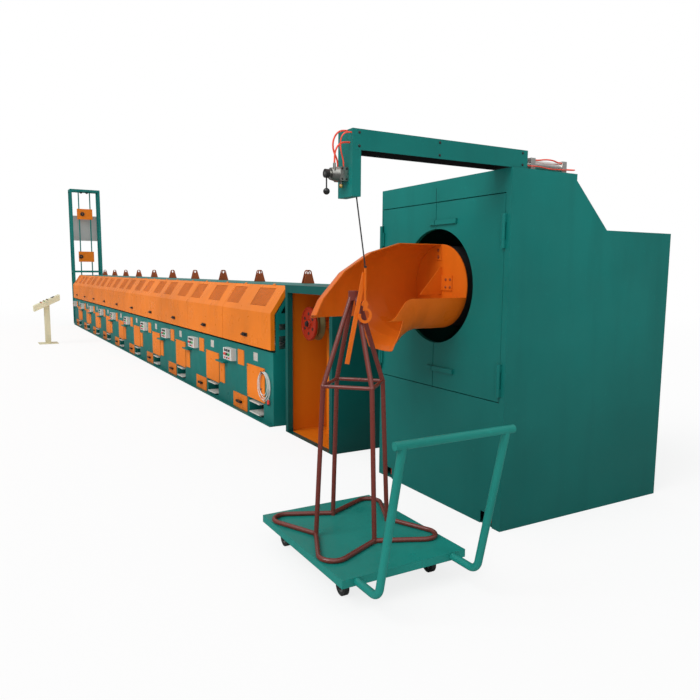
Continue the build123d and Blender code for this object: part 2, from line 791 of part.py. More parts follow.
with BuildPart() as hook:
    hook_centre_z = hook_top_z - 6 * hook_radius
    with BuildSketch(Plane.YZ.offset(rope_x - hook_bar / 2)):
        with Locations((rope_bottom_y, (hook_top_z + hook_centre_z + hook_radius) / 2)):
            Rectangle(hook_bar, hook_top_z - hook_centre_z - hook_radius)
        with Locations((rope_bottom_y, hook_centre_z + 1.4 * hook_radius)):
            RegularPolygon(hook_radius * 0.5, 6)
        with Locations((rope_bottom_y, hook_centre_z)):
            Circle(hook_radius)
            Circle(hook_radius - 1.6 * hook_bar, mode=Mode.SUBTRACT)
        with Locations((rope_bottom_y - hook_bar, hook_centre_z + hook_bar)):
            Rectangle(hook_radius, hook_radius, align=(Align.MAX, Align.MIN), mode=Mode.SUBTRACT)
    extrude(amount=hook_bar)
write(hook, "hook")

with BuildPart() as guide_bar:
    bar_plane = Plane(origin=(rope_x - hook_bar / 2 - seat_gap, rope_bottom_y, hook_top_z - bar_width),
                      z_dir=(-1, 0, 0), x_dir=(0, -1, 0))
    with BuildSketch(bar_plane):
        with Locations(Rotation(0, 0, -(90 - bar_lean))):
            with Locations((bar_length / 2, 0)):
                Rectangle(bar_length, bar_width)
    extrude(amount=bar_thickness)
write(guide_bar, "guide_bar")

# Hand valve on the head box: block, dome, neck, drain fitting and a lever that turns in front
valve_x = beam_x + beam_width / 2
dome_y = beam_head_y - valve_block_depth
neck_y = dome_y - valve_dome_depth
hub_y = neck_y - valve_neck_length
with BuildPart() as valve:
    with Locations((valve_x, beam_head_y, valve_z)):
        Box(valve_block, valve_block_depth, valve_block, align=(Align.CENTER, Align.MAX, Align.CENTER))
    with BuildSketch(Plane.XZ.offset(-dome_y)):
        with Locations((valve_x, valve_z)):
            Circle(valve_dome_radius)
    extrude(amount=valve_dome_depth, taper=valve_dome_taper)
    with Locations(Plane.XZ.offset(-neck_y)):
        with Locations((valve_x, valve_z)):
            Cylinder(valve_neck_radius, valve_neck_length, align=(Align.CENTER, Align.CENTER, Align.MIN))
            Cylinder(2 * lever_radius, valve_neck_length + lever_hub_length,
                     align=(Align.CENTER, Align.CENTER, Align.MIN))
    with Locations((valve_x, beam_head_y - valve_block_depth / 2, valve_z - valve_block / 2)):
        Cylinder(fitting_radius, fitting_height, align=(Align.CENTER, Align.CENTER, Align.MAX))
    with Locations((valve_x + valve_boss_x, beam_head_y - valve_boss_y, valve_z)):
        Cylinder(valve_boss_radius, valve_boss_height, align=(Align.CENTER, Align.CENTER, Align.MIN))
write(valve, "valve")

with BuildPart() as lever:
    with Locations(Plane.XZ.offset(seat_gap - hub_y)):
        with Locations((valve_x, valve_z)):
            Cylinder(lever_hub_radius, lever_hub_length - seat_gap,
                     align=(Align.CENTER, Align.CENTER, Align.MIN))
    lever_y = hub_y - lever_hub_length / 2
    with Locations((valve_x, lever_y, valve_z)):
        Cylinder(lever_radius, lever_length, align=(Align.CENTER, Align.CENTER, Align.MAX))
    with Locations(Plane.XZ.offset(-neck_y)):
        with Locations((valve_x, valve_z)):
            Cylinder(2 * lever_radius + running_fit, 2 * valve_neck_length + 2 * lever_hub_length,
                     mode=Mode.SUBTRACT)
    with Locations((valve_x, lever_y, valve_z - lever_length)):
        Cylinder(knob_radius, 2 * knob_radius)
write(lever, "valve_lever")

# Trolley deck
deck_middle_x = deck_x + deck_length / 2
deck_middle_y = deck_y + deck_width / 2
deck_bottom = deck_height - deck_thickness
caster_places = {
    "front_right": (deck_end_x - caster_inset_x, deck_y + caster_inset_y),
    "back_right": (deck_end_x - caster_inset_x, deck_y + deck_width - caster_inset_y),
    "front_left": (deck_x + caster_inset_x, deck_y + caster_inset_y),
    "back_left": (deck_x + caster_inset_x, deck_y + deck_width - caster_inset_y),
}
swivel_casters = ("front_right", "back_right")
fixed_casters = ("front_left", "back_left")
with BuildPart() as deck:
    with Locations((deck_middle_x, deck_middle_y, deck_height)):
        Box(deck_length, deck_width, deck_thickness, align=(Align.CENTER, Align.CENTER, Align.MAX))
    with Locations([(*caster_places[place], deck_bottom) for place in swivel_casters]):
        Cylinder(caster_pin, fork_wall + fork_gap, align=(Align.CENTER, Align.CENTER, Align.MAX))
write(deck, "trolley_deck")

# Push handle: two bent legs out of the deck's end and a straight cross bar on top of them
handle_low_z = deck_height - deck_thickness / 2
handle_bar_x = deck_end_x + handle_out + handle_lean
with BuildPart() as push_handle:
    for leg_y in (deck_y + handle_inset, deck_y + deck_width - handle_inset):
        with BuildLine() as handle_leg:
            FilletPolyline((deck_end_x, leg_y, handle_low_z),
                           (deck_end_x + handle_out, leg_y, handle_low_z),
                           (handle_bar_x, leg_y, handle_height), radius=handle_bend)
        with BuildSketch(Plane.YZ.offset(deck_end_x)):
            with Locations((leg_y, handle_low_z)):
                Circle(tube_radius)
        sweep(path=handle_leg.wires()[0])
    with Locations((handle_bar_x, deck_middle_y, handle_height)):
        Cylinder(tube_radius, deck_width - 2 * handle_inset + 2 * handle_overhang,
                 rotation=(90, 0, 0))
write(push_handle, "push_handle")

# Casters: swivelling forks on pins at the handle end, fixed forks at the other
fork_top = deck_bottom - seat_gap


def fork(pivot_x, pivot_y, top, pin_hole):
    """A fork whose wheel trails behind its pivot."""
    wheel_x = pivot_x - caster_trail
    with BuildPart() as made:
        with Locations((pivot_x - caster_trail / 2, pivot_y, top)):
            Box(caster_trail + 2 * fork_half, 2 * fork_half, fork_wall,
                align=(Align.CENTER, Align.CENTER, Align.MAX))
        for side in (-1, 1):
            wall_y = pivot_y + side * (wheel_width / 2 + fork_gap + fork_wall / 2)
            with BuildSketch(Plane.XZ.offset(-(wall_y + fork_wall / 2))):
                with BuildLine():
                    Polyline((pivot_x - caster_trail - fork_half, top), (pivot_x + fork_half, top),
                             (wheel_x + fork_half / 2, wheel_radius - fork_half / 2),
                             (wheel_x - fork_half / 2, wheel_radius - fork_half / 2), close=True)
                make_face()
            extrude(amount=fork_wall)
        if pin_hole:
            with Locations((pivot_x, pivot_y, top)):
                Cylinder(caster_pin + running_fit, 3 * fork_wall, mode=Mode.SUBTRACT)
        with Locations(Plane.XZ.offset(-pivot_y)):
            with Locations((wheel_x, wheel_radius)):
                Cylinder(caster_axle, wheel_width + 2 * fork_gap + 2 * fork_wall)
    return made.part


with BuildPart() as fixed_forks:
    for place in fixed_casters:
        add(fork(*caster_places[place], deck_bottom, False))
write(fixed_forks, "fixed_forks")

for place in swivel_casters:
    with BuildPart() as swivel_fork:
        add(fork(*caster_places[place], fork_top, True))
    write(swivel_fork, f"caster_fork_{place}")

for place, (pivot_x, pivot_y) in caster_places.items():
    with BuildPart() as wheel:
        with Locations(Plane.XZ.offset(-pivot_y)):
            with Locations((pivot_x - caster_trail, wheel_radius)):
                Cylinder(wheel_radius, wheel_width)
                Cylinder(caster_axle + running_fit, wheel_width, mode=Mode.SUBTRACT)
    write(wheel, f"caster_wheel_{place}")

# Coil stand: four legs that close to a point, over a clover-shaped foot ring
leg_foot_z = deck_height + 2 * stand_tube
stand_axis = Vector(stand_x, stand_y, 0)


def stand_point(turn, radius, height):
    return stand_axis + Vector(radius * cos(turn), radius * sin(turn), height)


with BuildPart() as stand_legs:
    for quarter in range(4):
        turn = quarter * pi / 2
        foot = stand_point(turn, stand_foot_radius, deck_height)
        knee = stand_point(turn, stand_bend_radius, stand_bend_z)
        apex = stand_point(turn, stand_apex_radius, stand_apex_z)
        next_knee = stand_point(turn + pi / 2, stand_bend_radius, stand_bend_z)
        for start, end, radius in ((foot, knee, stand_tube), (knee, apex, stand_tube),
                                   (knee, next_knee, stand_brace)):
            run = end - start
            with BuildSketch(Plane(origin=start, z_dir=run)):
                Circle(radius)
            extrude(amount=run.length)
        with Locations(knee):
            Sphere(stand_knee)
    with Locations(stand_point(0, 0, stand_apex_z)):
        Cylinder(stand_apex_radius + stand_knee, 4 * stand_tube)
    with Locations(stand_point(0, 0, leg_foot_z)):
        Box(4 * stand_foot_radius, 4 * stand_foot_radius, 4 * stand_tube,
            align=(Align.CENTER, Align.CENTER, Align.MAX), mode=Mode.SUBTRACT)
write(stand_legs, "stand_legs")

with BuildPart() as stand_ring:
    for quarter in range(4):
        turn = quarter * pi / 2
        start = stand_point(turn, stand_foot_radius, deck_height + stand_tube)
        corner = stand_point(turn + pi / 4, lobe_corner_radius, deck_height + stand_tube)
        end = stand_point(turn + pi / 2, stand_foot_radius, deck_height + stand_tube)
        with BuildLine() as lobe:
            FilletPolyline(start, corner, end, radius=lobe_bend)
        with BuildSketch(Plane(origin=start, z_dir=corner - start)):
            Circle(stand_tube)
        sweep(path=lobe.wires()[0])
        with Locations(stand_point(turn, stand_foot_radius, deck_height)):
            Cylinder(stand_knee, 2 * stand_tube, align=(Align.CENTER, Align.CENTER, Align.MIN))
write(stand_ring, "stand_ring")

# Entry tower: posts, rails, guide rods and two carriages
tower_end_x = line_entry - tower_gap
tower_x = tower_end_x - tower_length
tower_middle_x = (tower_x + tower_end_x) / 2
with BuildPart() as tower:
    corner_x = tower_length / 2 - tower_post / 2
    corner_y = tower_width / 2 - tower_post / 2
    with Locations([(tower_middle_x + side * corner_x, end * corner_y, 0)
                    for side in (-1, 1) for end in (-1, 1)]):
        Box(tower_post, tower_post, tower_height, align=(Align.CENTER, Align.CENTER, Align.MIN))
    for rail_z in (0, tower_rail_z, tower_height - tower_post):
        with Locations((tower_middle_x, 0, rail_z)):
            Box(tower_length, tower_width, tower_post, align=(Align.CENTER, Align.CENTER, Align.MIN))
            Box(tower_length - 2 * tower_post, tower_width - 2 * tower_post, tower_post,
                align=(Align.CENTER, Align.CENTER, Align.MIN), mode=Mode.SUBTRACT)
    for rail_z in (0, tower_height - tower_post):
        with Locations((tower_middle_x, 0, rail_z)):
            Box(tower_post, tower_width, tower_post, align=(Align.CENTER, Align.CENTER, Align.MIN))
    with Locations([(tower_middle_x, side * guide_half, 0) for side in (-1, 1)]):
        Cylinder(guide_radius, tower_height, align=(Align.CENTER, Align.CENTER, Align.MIN))
    with Locations(Plane.YZ.offset(tower_middle_x)):
        with Locations([(side * tower_wheel_half, tower_height - tower_post) for side in (-1, 1)]):
            Cylinder(tower_wheel_radius, tower_wheel_width)
write(tower, "tower")

carriage_places = {
    "carriage_upper": (tower_height - carriage_high_drop, -carriage_width / 6),
    "carriage_lower": (carriage_low_z, -carriage_width / 2 + carriage_wheel_radius),
}
for name, (carriage_z, wheel_y) in carriage_places.items():
    with BuildPart() as carriage:
        with Locations((tower_middle_x, 0, carriage_z)):
            Box(carriage_depth, carriage_width, carriage_height)
        with Locations([(tower_middle_x, side * guide_half, carriage_z) for side in (-1, 1)]):
            Cylinder(guide_radius + running_fit, carriage_height, mode=Mode.SUBTRACT)
        with Locations(Plane.YZ.offset(tower_middle_x + carriage_depth / 2)):
            with Locations((wheel_y, carriage_z)):
                Cylinder(carriage_wheel_radius, carriage_wheel_width,
                         align=(Align.CENTER, Align.CENTER, Align.MIN))
    write(carriage, name)

with BuildPart() as tower_sheet:
    with Locations((tower_x + tower_post / 2, 0, tower_height - back_sheet_drop)):
        Box(sheet, tower_width - 2 * tower_post - 2 * seat_gap, back_sheet_height,
            align=(Align.CENTER, Align.CENTER, Align.MAX))
write(tower_sheet, "tower_sheet")

# Control desk on its post
with BuildPart() as desk:
    with Locations((desk_x, desk_y, 0)):
        Box(desk_foot, desk_foot, desk_foot_height, align=(Align.CENTER, Align.CENTER, Align.MIN))
        Box(desk_post, desk_post, desk_height - desk_thickness / 2,
            align=(Align.CENTER, Align.CENTER, Align.MIN))
    desk_rise = desk_depth * tan(radians(desk_tilt)) / 2
    with BuildSketch(Plane.YZ.offset(desk_x - desk_width / 2)):
        with BuildLine():
            Polyline((desk_y - desk_depth / 2, desk_height - desk_rise - desk_thickness),
                     (desk_y - desk_depth / 2, desk_height - desk_rise),
                     (desk_y + desk_depth / 2, desk_height + desk_rise),
                     (desk_y + desk_depth / 2, desk_height + desk_rise - desk_thickness), close=True)
        make_face()
    extrude(amount=desk_width)
write(desk, "desk")

# Cords: a coil of control cable with its plug, and two air hoses
def cord_path(points):
    """Straight runs joined by arcs as large as the shorter run beside each corner allows."""
    radii = []
    for before, corner, after in zip(points, points[1:], points[2:]):
        shorter = min((corner - before).length, (after - corner).length)
        turn = radians((corner - before).get_angle(after - corner))
        radii.append(0.45 * shorter / tan(turn / 2))
    return FilletPolyline(*points, radius=radii), radii


coil_front = base_front - panel_thickness - seat_gap
with BuildPart() as cable_coil:
    with Locations(Plane.XZ.offset(-coil_front)):
        with Locations((coil_x, coil_z)):
            Cylinder(coil_radius + coil_stack / 2, coil_stack, align=(Align.CENTER, Align.CENTER, Align.MIN))
            Cylinder(coil_radius - coil_stack / 2, coil_stack, align=(Align.CENTER, Align.CENTER, Align.MIN),
                     mode=Mode.SUBTRACT)
write(cable_coil, "cable_coil")

plug_reach = coil_radius + coil_stack / 2 + plug_radius
plug_x = coil_x + plug_reach * sin(radians(plug_turn))
plug_z = coil_z - plug_reach * cos(radians(plug_turn))
with BuildPart() as cable_plug:
    with Locations((plug_x, coil_front, plug_z)):
        Cylinder(plug_radius, plug_length, rotation=(90, 0, 0),
                 align=(Align.CENTER, Align.CENTER, Align.MIN))
write(cable_plug, "cable_plug")

hose_routes = {
    "hose_head": (Vector(valve_x, beam_head_y, valve_z), [
        (hose_radius, [(25, 0, 233), (25, -35, 233), (21, -65, 216), (13, -81, 185), (3, -81, 151),
                       (-6, -69, 119), (-13, -49, 92), (-18, -37, 65), (-18, -37, valve_block / 2)]),
        (hose_radius, [(48, 0, 168), (48, -36, 168), (44, -66, 152), (36, -82, 122),
                       (valve_boss_x, -valve_boss_y, 88),
                       (valve_boss_x, -valve_boss_y, valve_boss_height)]),
        (thin_hose_radius, [(70, 0, 218), (70, -28, 218), (69, -52, 205), (65, -65, 181),
                            (57, -64, 142), (45, -50, 108), (32, -33, 84), (28, -26, 62),
                            (28, -26, valve_block / 2)]),
    ]),
    "hose_rear": (Vector(cylinder_x, cylinder_y, cylinder_z), [
        (thin_hose_radius, [(60, -cylinder_gap, -16), (61, -20, -18), (63, 40, -14), (61, 105, -20),
                            (63, 170, -24), (62, 235, -20), (62, 300, -18), (62, 345, -16),
                            (62, 374, -14), (50, 399, -9), (27, 414, -4), (0, 413, 1),
                            (-23, 400, 5), (-36, 374, 8), (-36, cylinder_length, 8)]),
        (hose_radius, [(28, cylinder_cap, 30), (28, 72, 30), (42, 118, 37), (49, 165, 38), (42, 212, 36),
                       (28, 258, 30), (28, cylinder_length - cylinder_cap, 30)]),
    ]),
}
for name, (origin, routes) in hose_routes.items():
    with BuildPart() as hose:
        for radius, offsets in routes:
            with BuildLine() as route:
                path, radii = cord_path([origin + Vector(*offset) for offset in offsets])
            with BuildSketch(Plane(origin=path @ 0, z_dir=path % 0)):
                Circle(radius)
            sweep(path=route.wires()[0])
            print(name, "length", round(path.length), "smallest radius", round(min(radii)))
    write(hose, name)
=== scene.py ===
"""Finished model of a straight wire drawing line with its coiler, trolley, entry tower and desk."""
import json
import logging
import math
from dataclasses import dataclass, field
from enum import Enum
from functools import cache
from itertools import product

import bmesh
import bpy
from mathutils import Matrix, Vector


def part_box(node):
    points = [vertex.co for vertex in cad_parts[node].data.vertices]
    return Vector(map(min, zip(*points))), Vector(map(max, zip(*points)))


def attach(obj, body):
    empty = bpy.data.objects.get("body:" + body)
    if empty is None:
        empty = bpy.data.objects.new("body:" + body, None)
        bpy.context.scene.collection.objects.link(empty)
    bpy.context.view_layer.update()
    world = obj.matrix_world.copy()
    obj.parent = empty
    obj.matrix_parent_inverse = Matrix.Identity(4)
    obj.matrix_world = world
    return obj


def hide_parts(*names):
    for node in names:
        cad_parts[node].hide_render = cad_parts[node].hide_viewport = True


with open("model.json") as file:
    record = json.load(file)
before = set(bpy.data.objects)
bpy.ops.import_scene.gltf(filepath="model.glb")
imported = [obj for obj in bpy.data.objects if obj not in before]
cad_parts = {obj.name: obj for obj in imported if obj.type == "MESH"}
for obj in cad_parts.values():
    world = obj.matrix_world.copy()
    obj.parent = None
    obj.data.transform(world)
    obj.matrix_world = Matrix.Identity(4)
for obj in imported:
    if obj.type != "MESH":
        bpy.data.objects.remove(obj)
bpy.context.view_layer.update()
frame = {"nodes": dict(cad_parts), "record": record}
IMAGE_SIZE = 700
SENSOR_WIDTH = 36.0
SMOOTH_ANGLE = math.radians(38)
FAR = 100.0
VALVE_DROP = 0.128
CABLE_LENGTH = 5.44
Colour = tuple[float, float, float]
Point = tuple[float, float, float]
Outline = list[tuple[float, float]]
Socket = bpy.types.NodeSocket
Source = Socket | float | Colour
log = logging.getLogger("wire_line")
BODY_OF = {node: body for body, nodes in frame["record"]["behaviour"]["bodies"].items() for node in nodes}


class Side(Enum):
    """Directions in which a flat fitting can face."""

    FRONT = (0.0, -1.0, 0.0)
    BACK = (0.0, 1.0, 0.0)
    EXIT = (1.0, 0.0, 0.0)
    ENTRY = (-1.0, 0.0, 0.0)
    UP = (0.0, 0.0, 1.0)
    DOWN = (0.0, 0.0, -1.0)

    @property
    def vector(self) -> Vector:
        """The direction as a vector."""
        return Vector(self.value)


class NodeTree:
    """A node tree, with the few nodes that the finishes and the studio share."""

    def __init__(self, owner: bpy.types.Material | bpy.types.World) -> None:
        owner.use_nodes = True
        self.tree = owner.node_tree

    def add(self, kind: str, inputs: dict[str | int, Source] | None = None,
            **settings: str | int) -> bpy.types.Node:
        """Adds a node.

        Args:
            kind: Its type without the ShaderNode prefix.
            inputs: What feeds its inputs, by their names or numbers.
            settings: Its own properties.

        Returns:
            The node.
        """
        node = self.tree.nodes.new("ShaderNode" + kind)
        for name, value in settings.items():
            setattr(node, name, value)
        for key, source in (inputs or {}).items():
            self.feed(node.inputs[key], source)
        return node

    def feed(self, target: Socket, source: Source) -> None:
        """Gives an input a number, a place or a colour, or links it to another node's output."""
        if isinstance(source, Socket):
            self.tree.links.new(source, target)
        else:
            target.default_value = (*source, 1.0) if target.type == "RGBA" else source

    def spread(self, value: Socket, low: float, high: float, least: Socket | float = 0.0,
               most: Socket | float = 1.0, smooth: bool = False) -> Socket:
        """Maps a range of a value to another, clamped.

        Args:
            value: What is mapped.
            low: Value that gives the least result.
            high: Value that gives the most.
            least: Result at the low end.
            most: Result at the high end.
            smooth: Whether the ends ease in and out.

        Returns:
            The mapped value.
        """
        ramp = self.add("MapRange", {"Value": value, "From Min": low, "From Max": high, "To Min": least,
                                     "To Max": most}, interpolation_type="SMOOTHSTEP" if smooth else "LINEAR")
        return ramp.outputs["Result"]

    def maths(self, kind: str, first: Socket, second: Socket | float) -> Socket:
        """Works out an operation of the Math node on two values."""
        return self.add("Math", {0: first, 1: second}, operation=kind).outputs["Value"]


class NodeSheet(NodeTree):
    """The node tree of one material, with the patterns that the finishes share."""

    def __init__(self, name: str) -> None:
        self.material = bpy.data.materials.new(name)
        super().__init__(self.material)
        self.shader = self.tree.nodes["Principled BSDF"]
        self.place = self.add("TexCoord").outputs["Object"]

    def shade(self, socket: str, source: Source) -> None:
        """Sets or links an input of the shader."""
        self.feed(self.shader.inputs[socket], source)

    def noise(self, scale: float, detail: float, stretch: Point = (1.0, 1.0, 1.0)) -> Socket:
        """Cloudy pattern over the piece.

        Args:
            scale: Patches per metre.
            detail: Octaves of finer noise.
            stretch: Factor on each axis, below 1 for long patches.

        Returns:
            The pattern's value, from 0 to 1.
        """
        place = self.add("Mapping", {"Scale": stretch, "Vector": self.place}).outputs["Vector"]
        return self.add("TexNoise", {"Scale": scale, "Detail": detail, "Vector": place}).outputs["Fac"]

    def axis(self, letter: str) -> Socket:
        """One coordinate of the place on the piece, in metres."""
        return self.add("SeparateXYZ", {"Vector": self.place}).outputs[letter]

    def within(self, low: Point, high: Point) -> Socket:
        """Tells the inside of a box from the rest of the piece.

        Args:
            low: Lowest corner in the piece's own coordinates.
            high: Highest corner.

        Returns:
            1 inside the box, 0 outside it.
        """
        inside = None
        for letter, least, most in zip("XYZ", low, high):
            for kind, limit in (("GREATER_THAN", least), ("LESS_THAN", most)):
                test = self.maths(kind, self.axis(letter), limit)
                inside = test if inside is None else self.maths("MULTIPLY", inside, test)
        return inside

    def mix(self, share: Socket, first: Socket | Colour, second: Socket | Colour) -> Socket:
        """Blends two colours, the first alone at a share of 0 and the second at 1."""
        return self.add("Mix", {0: share, 6: first, 7: second}, data_type="RGBA").outputs[2]

    def bump(self, height: Socket, strength: float, depth: float, round_edge: float = 0.0) -> None:
        """Roughens the surface.

        Args:
            height: Pattern used as height.
            strength: Share of the effect, from 0 to 1.
            depth: Height of the pattern in metres.
            round_edge: Radius at which sharp edges catch light, 0 for none.
        """
        node = self.add("Bump", {"Strength": strength, "Distance": depth, "Height": height})
        if round_edge > 0.0:
            edge = self.add("Bevel", {"Radius": round_edge}, samples=4)
            self.feed(node.inputs["Normal"], edge.outputs["Normal"])
        self.shade("Normal", node.outputs["Normal"])


def darker(colour: Colour, factor: float) -> Colour:
    """The colour with each channel scaled by a factor."""
    return tuple(channel * factor for channel in colour)


@dataclass(frozen=True)
class Enamel:
    """Brushed enamel on sheet steel: cloudy, slightly streaked, with painted shade that darkens it towards
    the floor.
    """

    name: str
    colour: Colour
    roughness: float = 0.34
    gloss: float = 0.2
    # Height and strength of the painted shade towards the floor.
    shade_height: float = 0.6
    shade_share: float = 0.0
    accent: Colour | None = None
    accent_low: Point = (-FAR, -FAR, -FAR)
    accent_high: Point = (FAR, FAR, FAR)
    edge: float = 0.003

    def material(self) -> bpy.types.Material:
        """Builds the paint's node tree."""
        sheet = NodeSheet(self.name)
        cloud = sheet.spread(sheet.noise(1.1, 5.0), 0.3, 0.7)
        body = sheet.mix(cloud, darker(self.colour, 0.86), darker(self.colour, 1.1))
        streak = sheet.spread(sheet.noise(7.0, 3.0, (1.0, 1.0, 0.12)), 0.52, 0.8, 0.0, 0.3)
        body = sheet.mix(streak, body, darker(self.colour, 0.6))
        scuff = sheet.spread(sheet.noise(26.0, 6.0), 0.64, 0.78, 0.0, 0.45)
        body = sheet.mix(scuff, body, darker(self.colour, 1.35))
        # Painted shade: the colour darkens towards the floor, below a set height.
        low_shade = sheet.spread(sheet.axis("Z"), 0.0, self.shade_height, self.shade_share, 0.0)
        body = sheet.mix(low_shade, body, darker(self.colour, 0.35))
        if self.accent:
            body = sheet.mix(sheet.within(self.accent_low, self.accent_high), body, self.accent)
        sheet.shade("Base Color", body)
        sheet.shade("Roughness", sheet.spread(sheet.noise(4.0, 5.0), 0.25, 0.75,
                                              self.roughness - 0.07, self.roughness + 0.14))
        sheet.shade("Specular IOR Level", self.gloss)
        sheet.bump(sheet.noise(240.0, 2.0), 0.12, 0.0012, self.edge)
        return sheet.material


@dataclass(frozen=True)
class Metal:
    """Bare or plated metal with fine scratches and dull patches."""

    name: str
    colour: Colour
    roughness: float = 0.32
    metallic: float = 1.0
    stain: float = 0.35
    grain: Point = (1.0, 1.0, 1.0)

    def material(self) -> bpy.types.Material:
        """Builds the metal's node tree."""
        sheet = NodeSheet(self.name)
        patch = sheet.spread(sheet.noise(9.0, 6.0), 0.4, 0.75, 0.0, self.stain)
        sheet.shade("Base Color", sheet.mix(patch, self.colour, darker(self.colour, 0.4)))
        sheet.shade("Roughness", sheet.spread(sheet.noise(60.0, 3.0, self.grain), 0.25, 0.75,
                                              self.roughness - 0.1, self.roughness + 0.18))
        sheet.shade("Metallic", self.metallic)
        sheet.bump(sheet.noise(420.0, 2.0, self.grain), 0.15, 0.0006, 0.0015)
        return sheet.material


@dataclass(frozen=True)
class Moulding:
    """Plastic or rubber with a fine grain."""

    name: str
    colour: Colour
    roughness: float = 0.5
    grain_depth: float = 0.0005

    def material(self) -> bpy.types.Material:
        """Builds the moulding's node tree."""
        sheet = NodeSheet(self.name)
        cloud = sheet.spread(sheet.noise(18.0, 5.0), 0.3, 0.7)
        sheet.shade("Base Color", sheet.mix(cloud, darker(self.colour, 0.8), darker(self.colour, 1.25)))
        sheet.shade("Roughness", sheet.spread(sheet.noise(30.0, 4.0), 0.3, 0.7,
                                              self.roughness - 0.08, self.roughness + 0.1))
        sheet.bump(sheet.noise(700.0, 2.0), 0.25, self.grain_depth)
        return sheet.material


Finish = Enamel | Metal | Moulding

TEAL: Colour = (0.0045, 0.172, 0.151)
ORANGE: Colour = (0.80, 0.20, 0.009)
BLACK: Colour = (0.012, 0.012, 0.012)
# Several paints below darken towards the floor with painted shade.
GREEN_PAINT = Enamel("green_enamel", TEAL, shade_share=0.5)
TROLLEY_PAINT = Enamel("trolley_enamel", (0.012, 0.215, 0.180), roughness=0.3)
CABINET_PAINT = Enamel("cabinet_enamel", TEAL, roughness=0.38, shade_height=2.4, shade_share=0.6)
# The lighter teal on the latches in front of the door leaves is a painted highlight.
DOOR_PAINT = Enamel("door_enamel", TEAL, roughness=0.36, shade_height=2.4, shade_share=0.6,
                    accent=(0.035, 0.27, 0.24), accent_high=(FAR, -0.351, FAR))
ORANGE_PAINT = Enamel("orange_enamel", ORANGE, roughness=0.3, shade_height=0.35, shade_share=0.5)
# The chute's deeper orange is the orange paint with painted shade.
CHUTE_PAINT = Enamel("chute_enamel", (0.68, 0.135, 0.008), roughness=0.3)
# The lugs' dark brownish orange is the orange paint with painted shade.
LUG_PAINT = Enamel("lug_enamel", (0.34, 0.075, 0.022), roughness=0.42)
WIRE_PAINT = Enamel("mesh_enamel", (0.66, 0.16, 0.020), roughness=0.5, edge=0.0)
BROWN_PAINT = Enamel("red_oxide_enamel", (0.14, 0.022, 0.014), roughness=0.24, gloss=0.6, shade_share=0.1)
RED_PAINT = Enamel("red_enamel", (0.34, 0.021, 0.005), roughness=0.24)
CREAM_PAINT = Enamel("cream_enamel", (0.76, 0.72, 0.50), roughness=0.4, shade_share=0.15)
GREY_PAINT = Enamel("grey_enamel", (0.36, 0.37, 0.36), roughness=0.45)
LABEL_GREY = Enamel("label_grey", (0.50, 0.47, 0.43), roughness=0.5, edge=0.0)
PANEL_PAINT = Enamel("panel_enamel", (0.62, 0.63, 0.60), roughness=0.4, edge=0.001)
CAST_IRON = Metal("cast_iron", (0.05, 0.05, 0.05), roughness=0.5, metallic=0.6)
OLIVE_IRON = Metal("olive_rim", (0.20, 0.19, 0.08), roughness=0.42, metallic=0.55)
STEEL = Metal("bright_steel", (0.62, 0.62, 0.61), roughness=0.26, grain=(1.0, 0.2, 1.0))
# The pedals' pale, barely metallic steel is a painted reflection of bright chrome.
PEDAL_STEEL = Metal("pedal_steel", (0.72, 0.71, 0.66), roughness=0.3, metallic=0.25)
ALUMINIUM = Metal("cast_aluminium", (0.72, 0.71, 0.68), roughness=0.34)
ZINC = Metal("zinc_casting", (0.42, 0.42, 0.39), roughness=0.3)
BRASS = Metal("brass", (0.72, 0.47, 0.17), roughness=0.28)
DARK_STEEL = Metal("dark_steel", (0.10, 0.10, 0.10), roughness=0.42)
BLACK_PLASTIC = Moulding("black_plastic", BLACK, roughness=0.32)
SEAM_PAINT = Enamel("seam_shadow", darker(TEAL, 0.25), roughness=0.6, edge=0.0)
WHEEL_RUBBER = Moulding("wheel_rubber", (0.02, 0.02, 0.02), roughness=0.62)
RED_PLASTIC = Moulding("red_plastic", (0.66, 0.03, 0.02), roughness=0.35)
GREEN_PLASTIC = Moulding("green_plastic", (0.02, 0.32, 0.06), roughness=0.3)
HOSE_RED = Moulding("hose_red", (0.80, 0.075, 0.038), roughness=0.24)
CABLE_GREY = Moulding("cable_grey", (0.62, 0.63, 0.60), roughness=0.45)


@cache
def material_of(finish: Finish) -> bpy.types.Material:
    """The material of a finish, built on its first use."""
    return finish.material()


def new_object(name: str, data: bpy.types.ID) -> bpy.types.Object:
    """A new object at the origin, in the scene."""
    thing = bpy.data.objects.new(name, data)
    bpy.context.scene.collection.objects.link(thing)
    return thing


def middle_of(node: str) -> Vector:
    """Centre of a CAD node's box."""
    low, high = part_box(node)
    return (low + high) / 2


def around(angle: float) -> Vector:
    """Direction at an angle from upright towards the exit, in radians."""
    return Vector((math.sin(angle), 0.0, math.cos(angle)))


def named(start: str) -> list[str]:
    """The CAD nodes whose names begin with some letters."""
    return [name for name in frame["nodes"] if name.startswith(start)]


def dress(finish: Finish, *nodes: str) -> None:
    """Gives carried-over CAD nodes their finish."""
    for node in nodes:
        materials = frame["nodes"][node].data.materials
        materials.clear()
        materials.append(material_of(finish))


def turned_to(direction: Vector) -> Matrix:
    """Rotation that takes +Z to a direction."""
    return direction.to_track_quat("Z", "Y").to_matrix().to_4x4()


def spaced(start: float, end: float, pitch: float) -> list[float]:
    """Places that part a run evenly at about a pitch, without its two ends."""
    steps = round((end - start) / pitch)
    return [start + (end - start) * step / steps for step in range(1, steps)]


def rectangle(left: float, right: float, low: float, high: float) -> Outline:
    """Corners of a rectangle, in order round it."""
    return [(left, low), (right, low), (right, high), (left, high)]


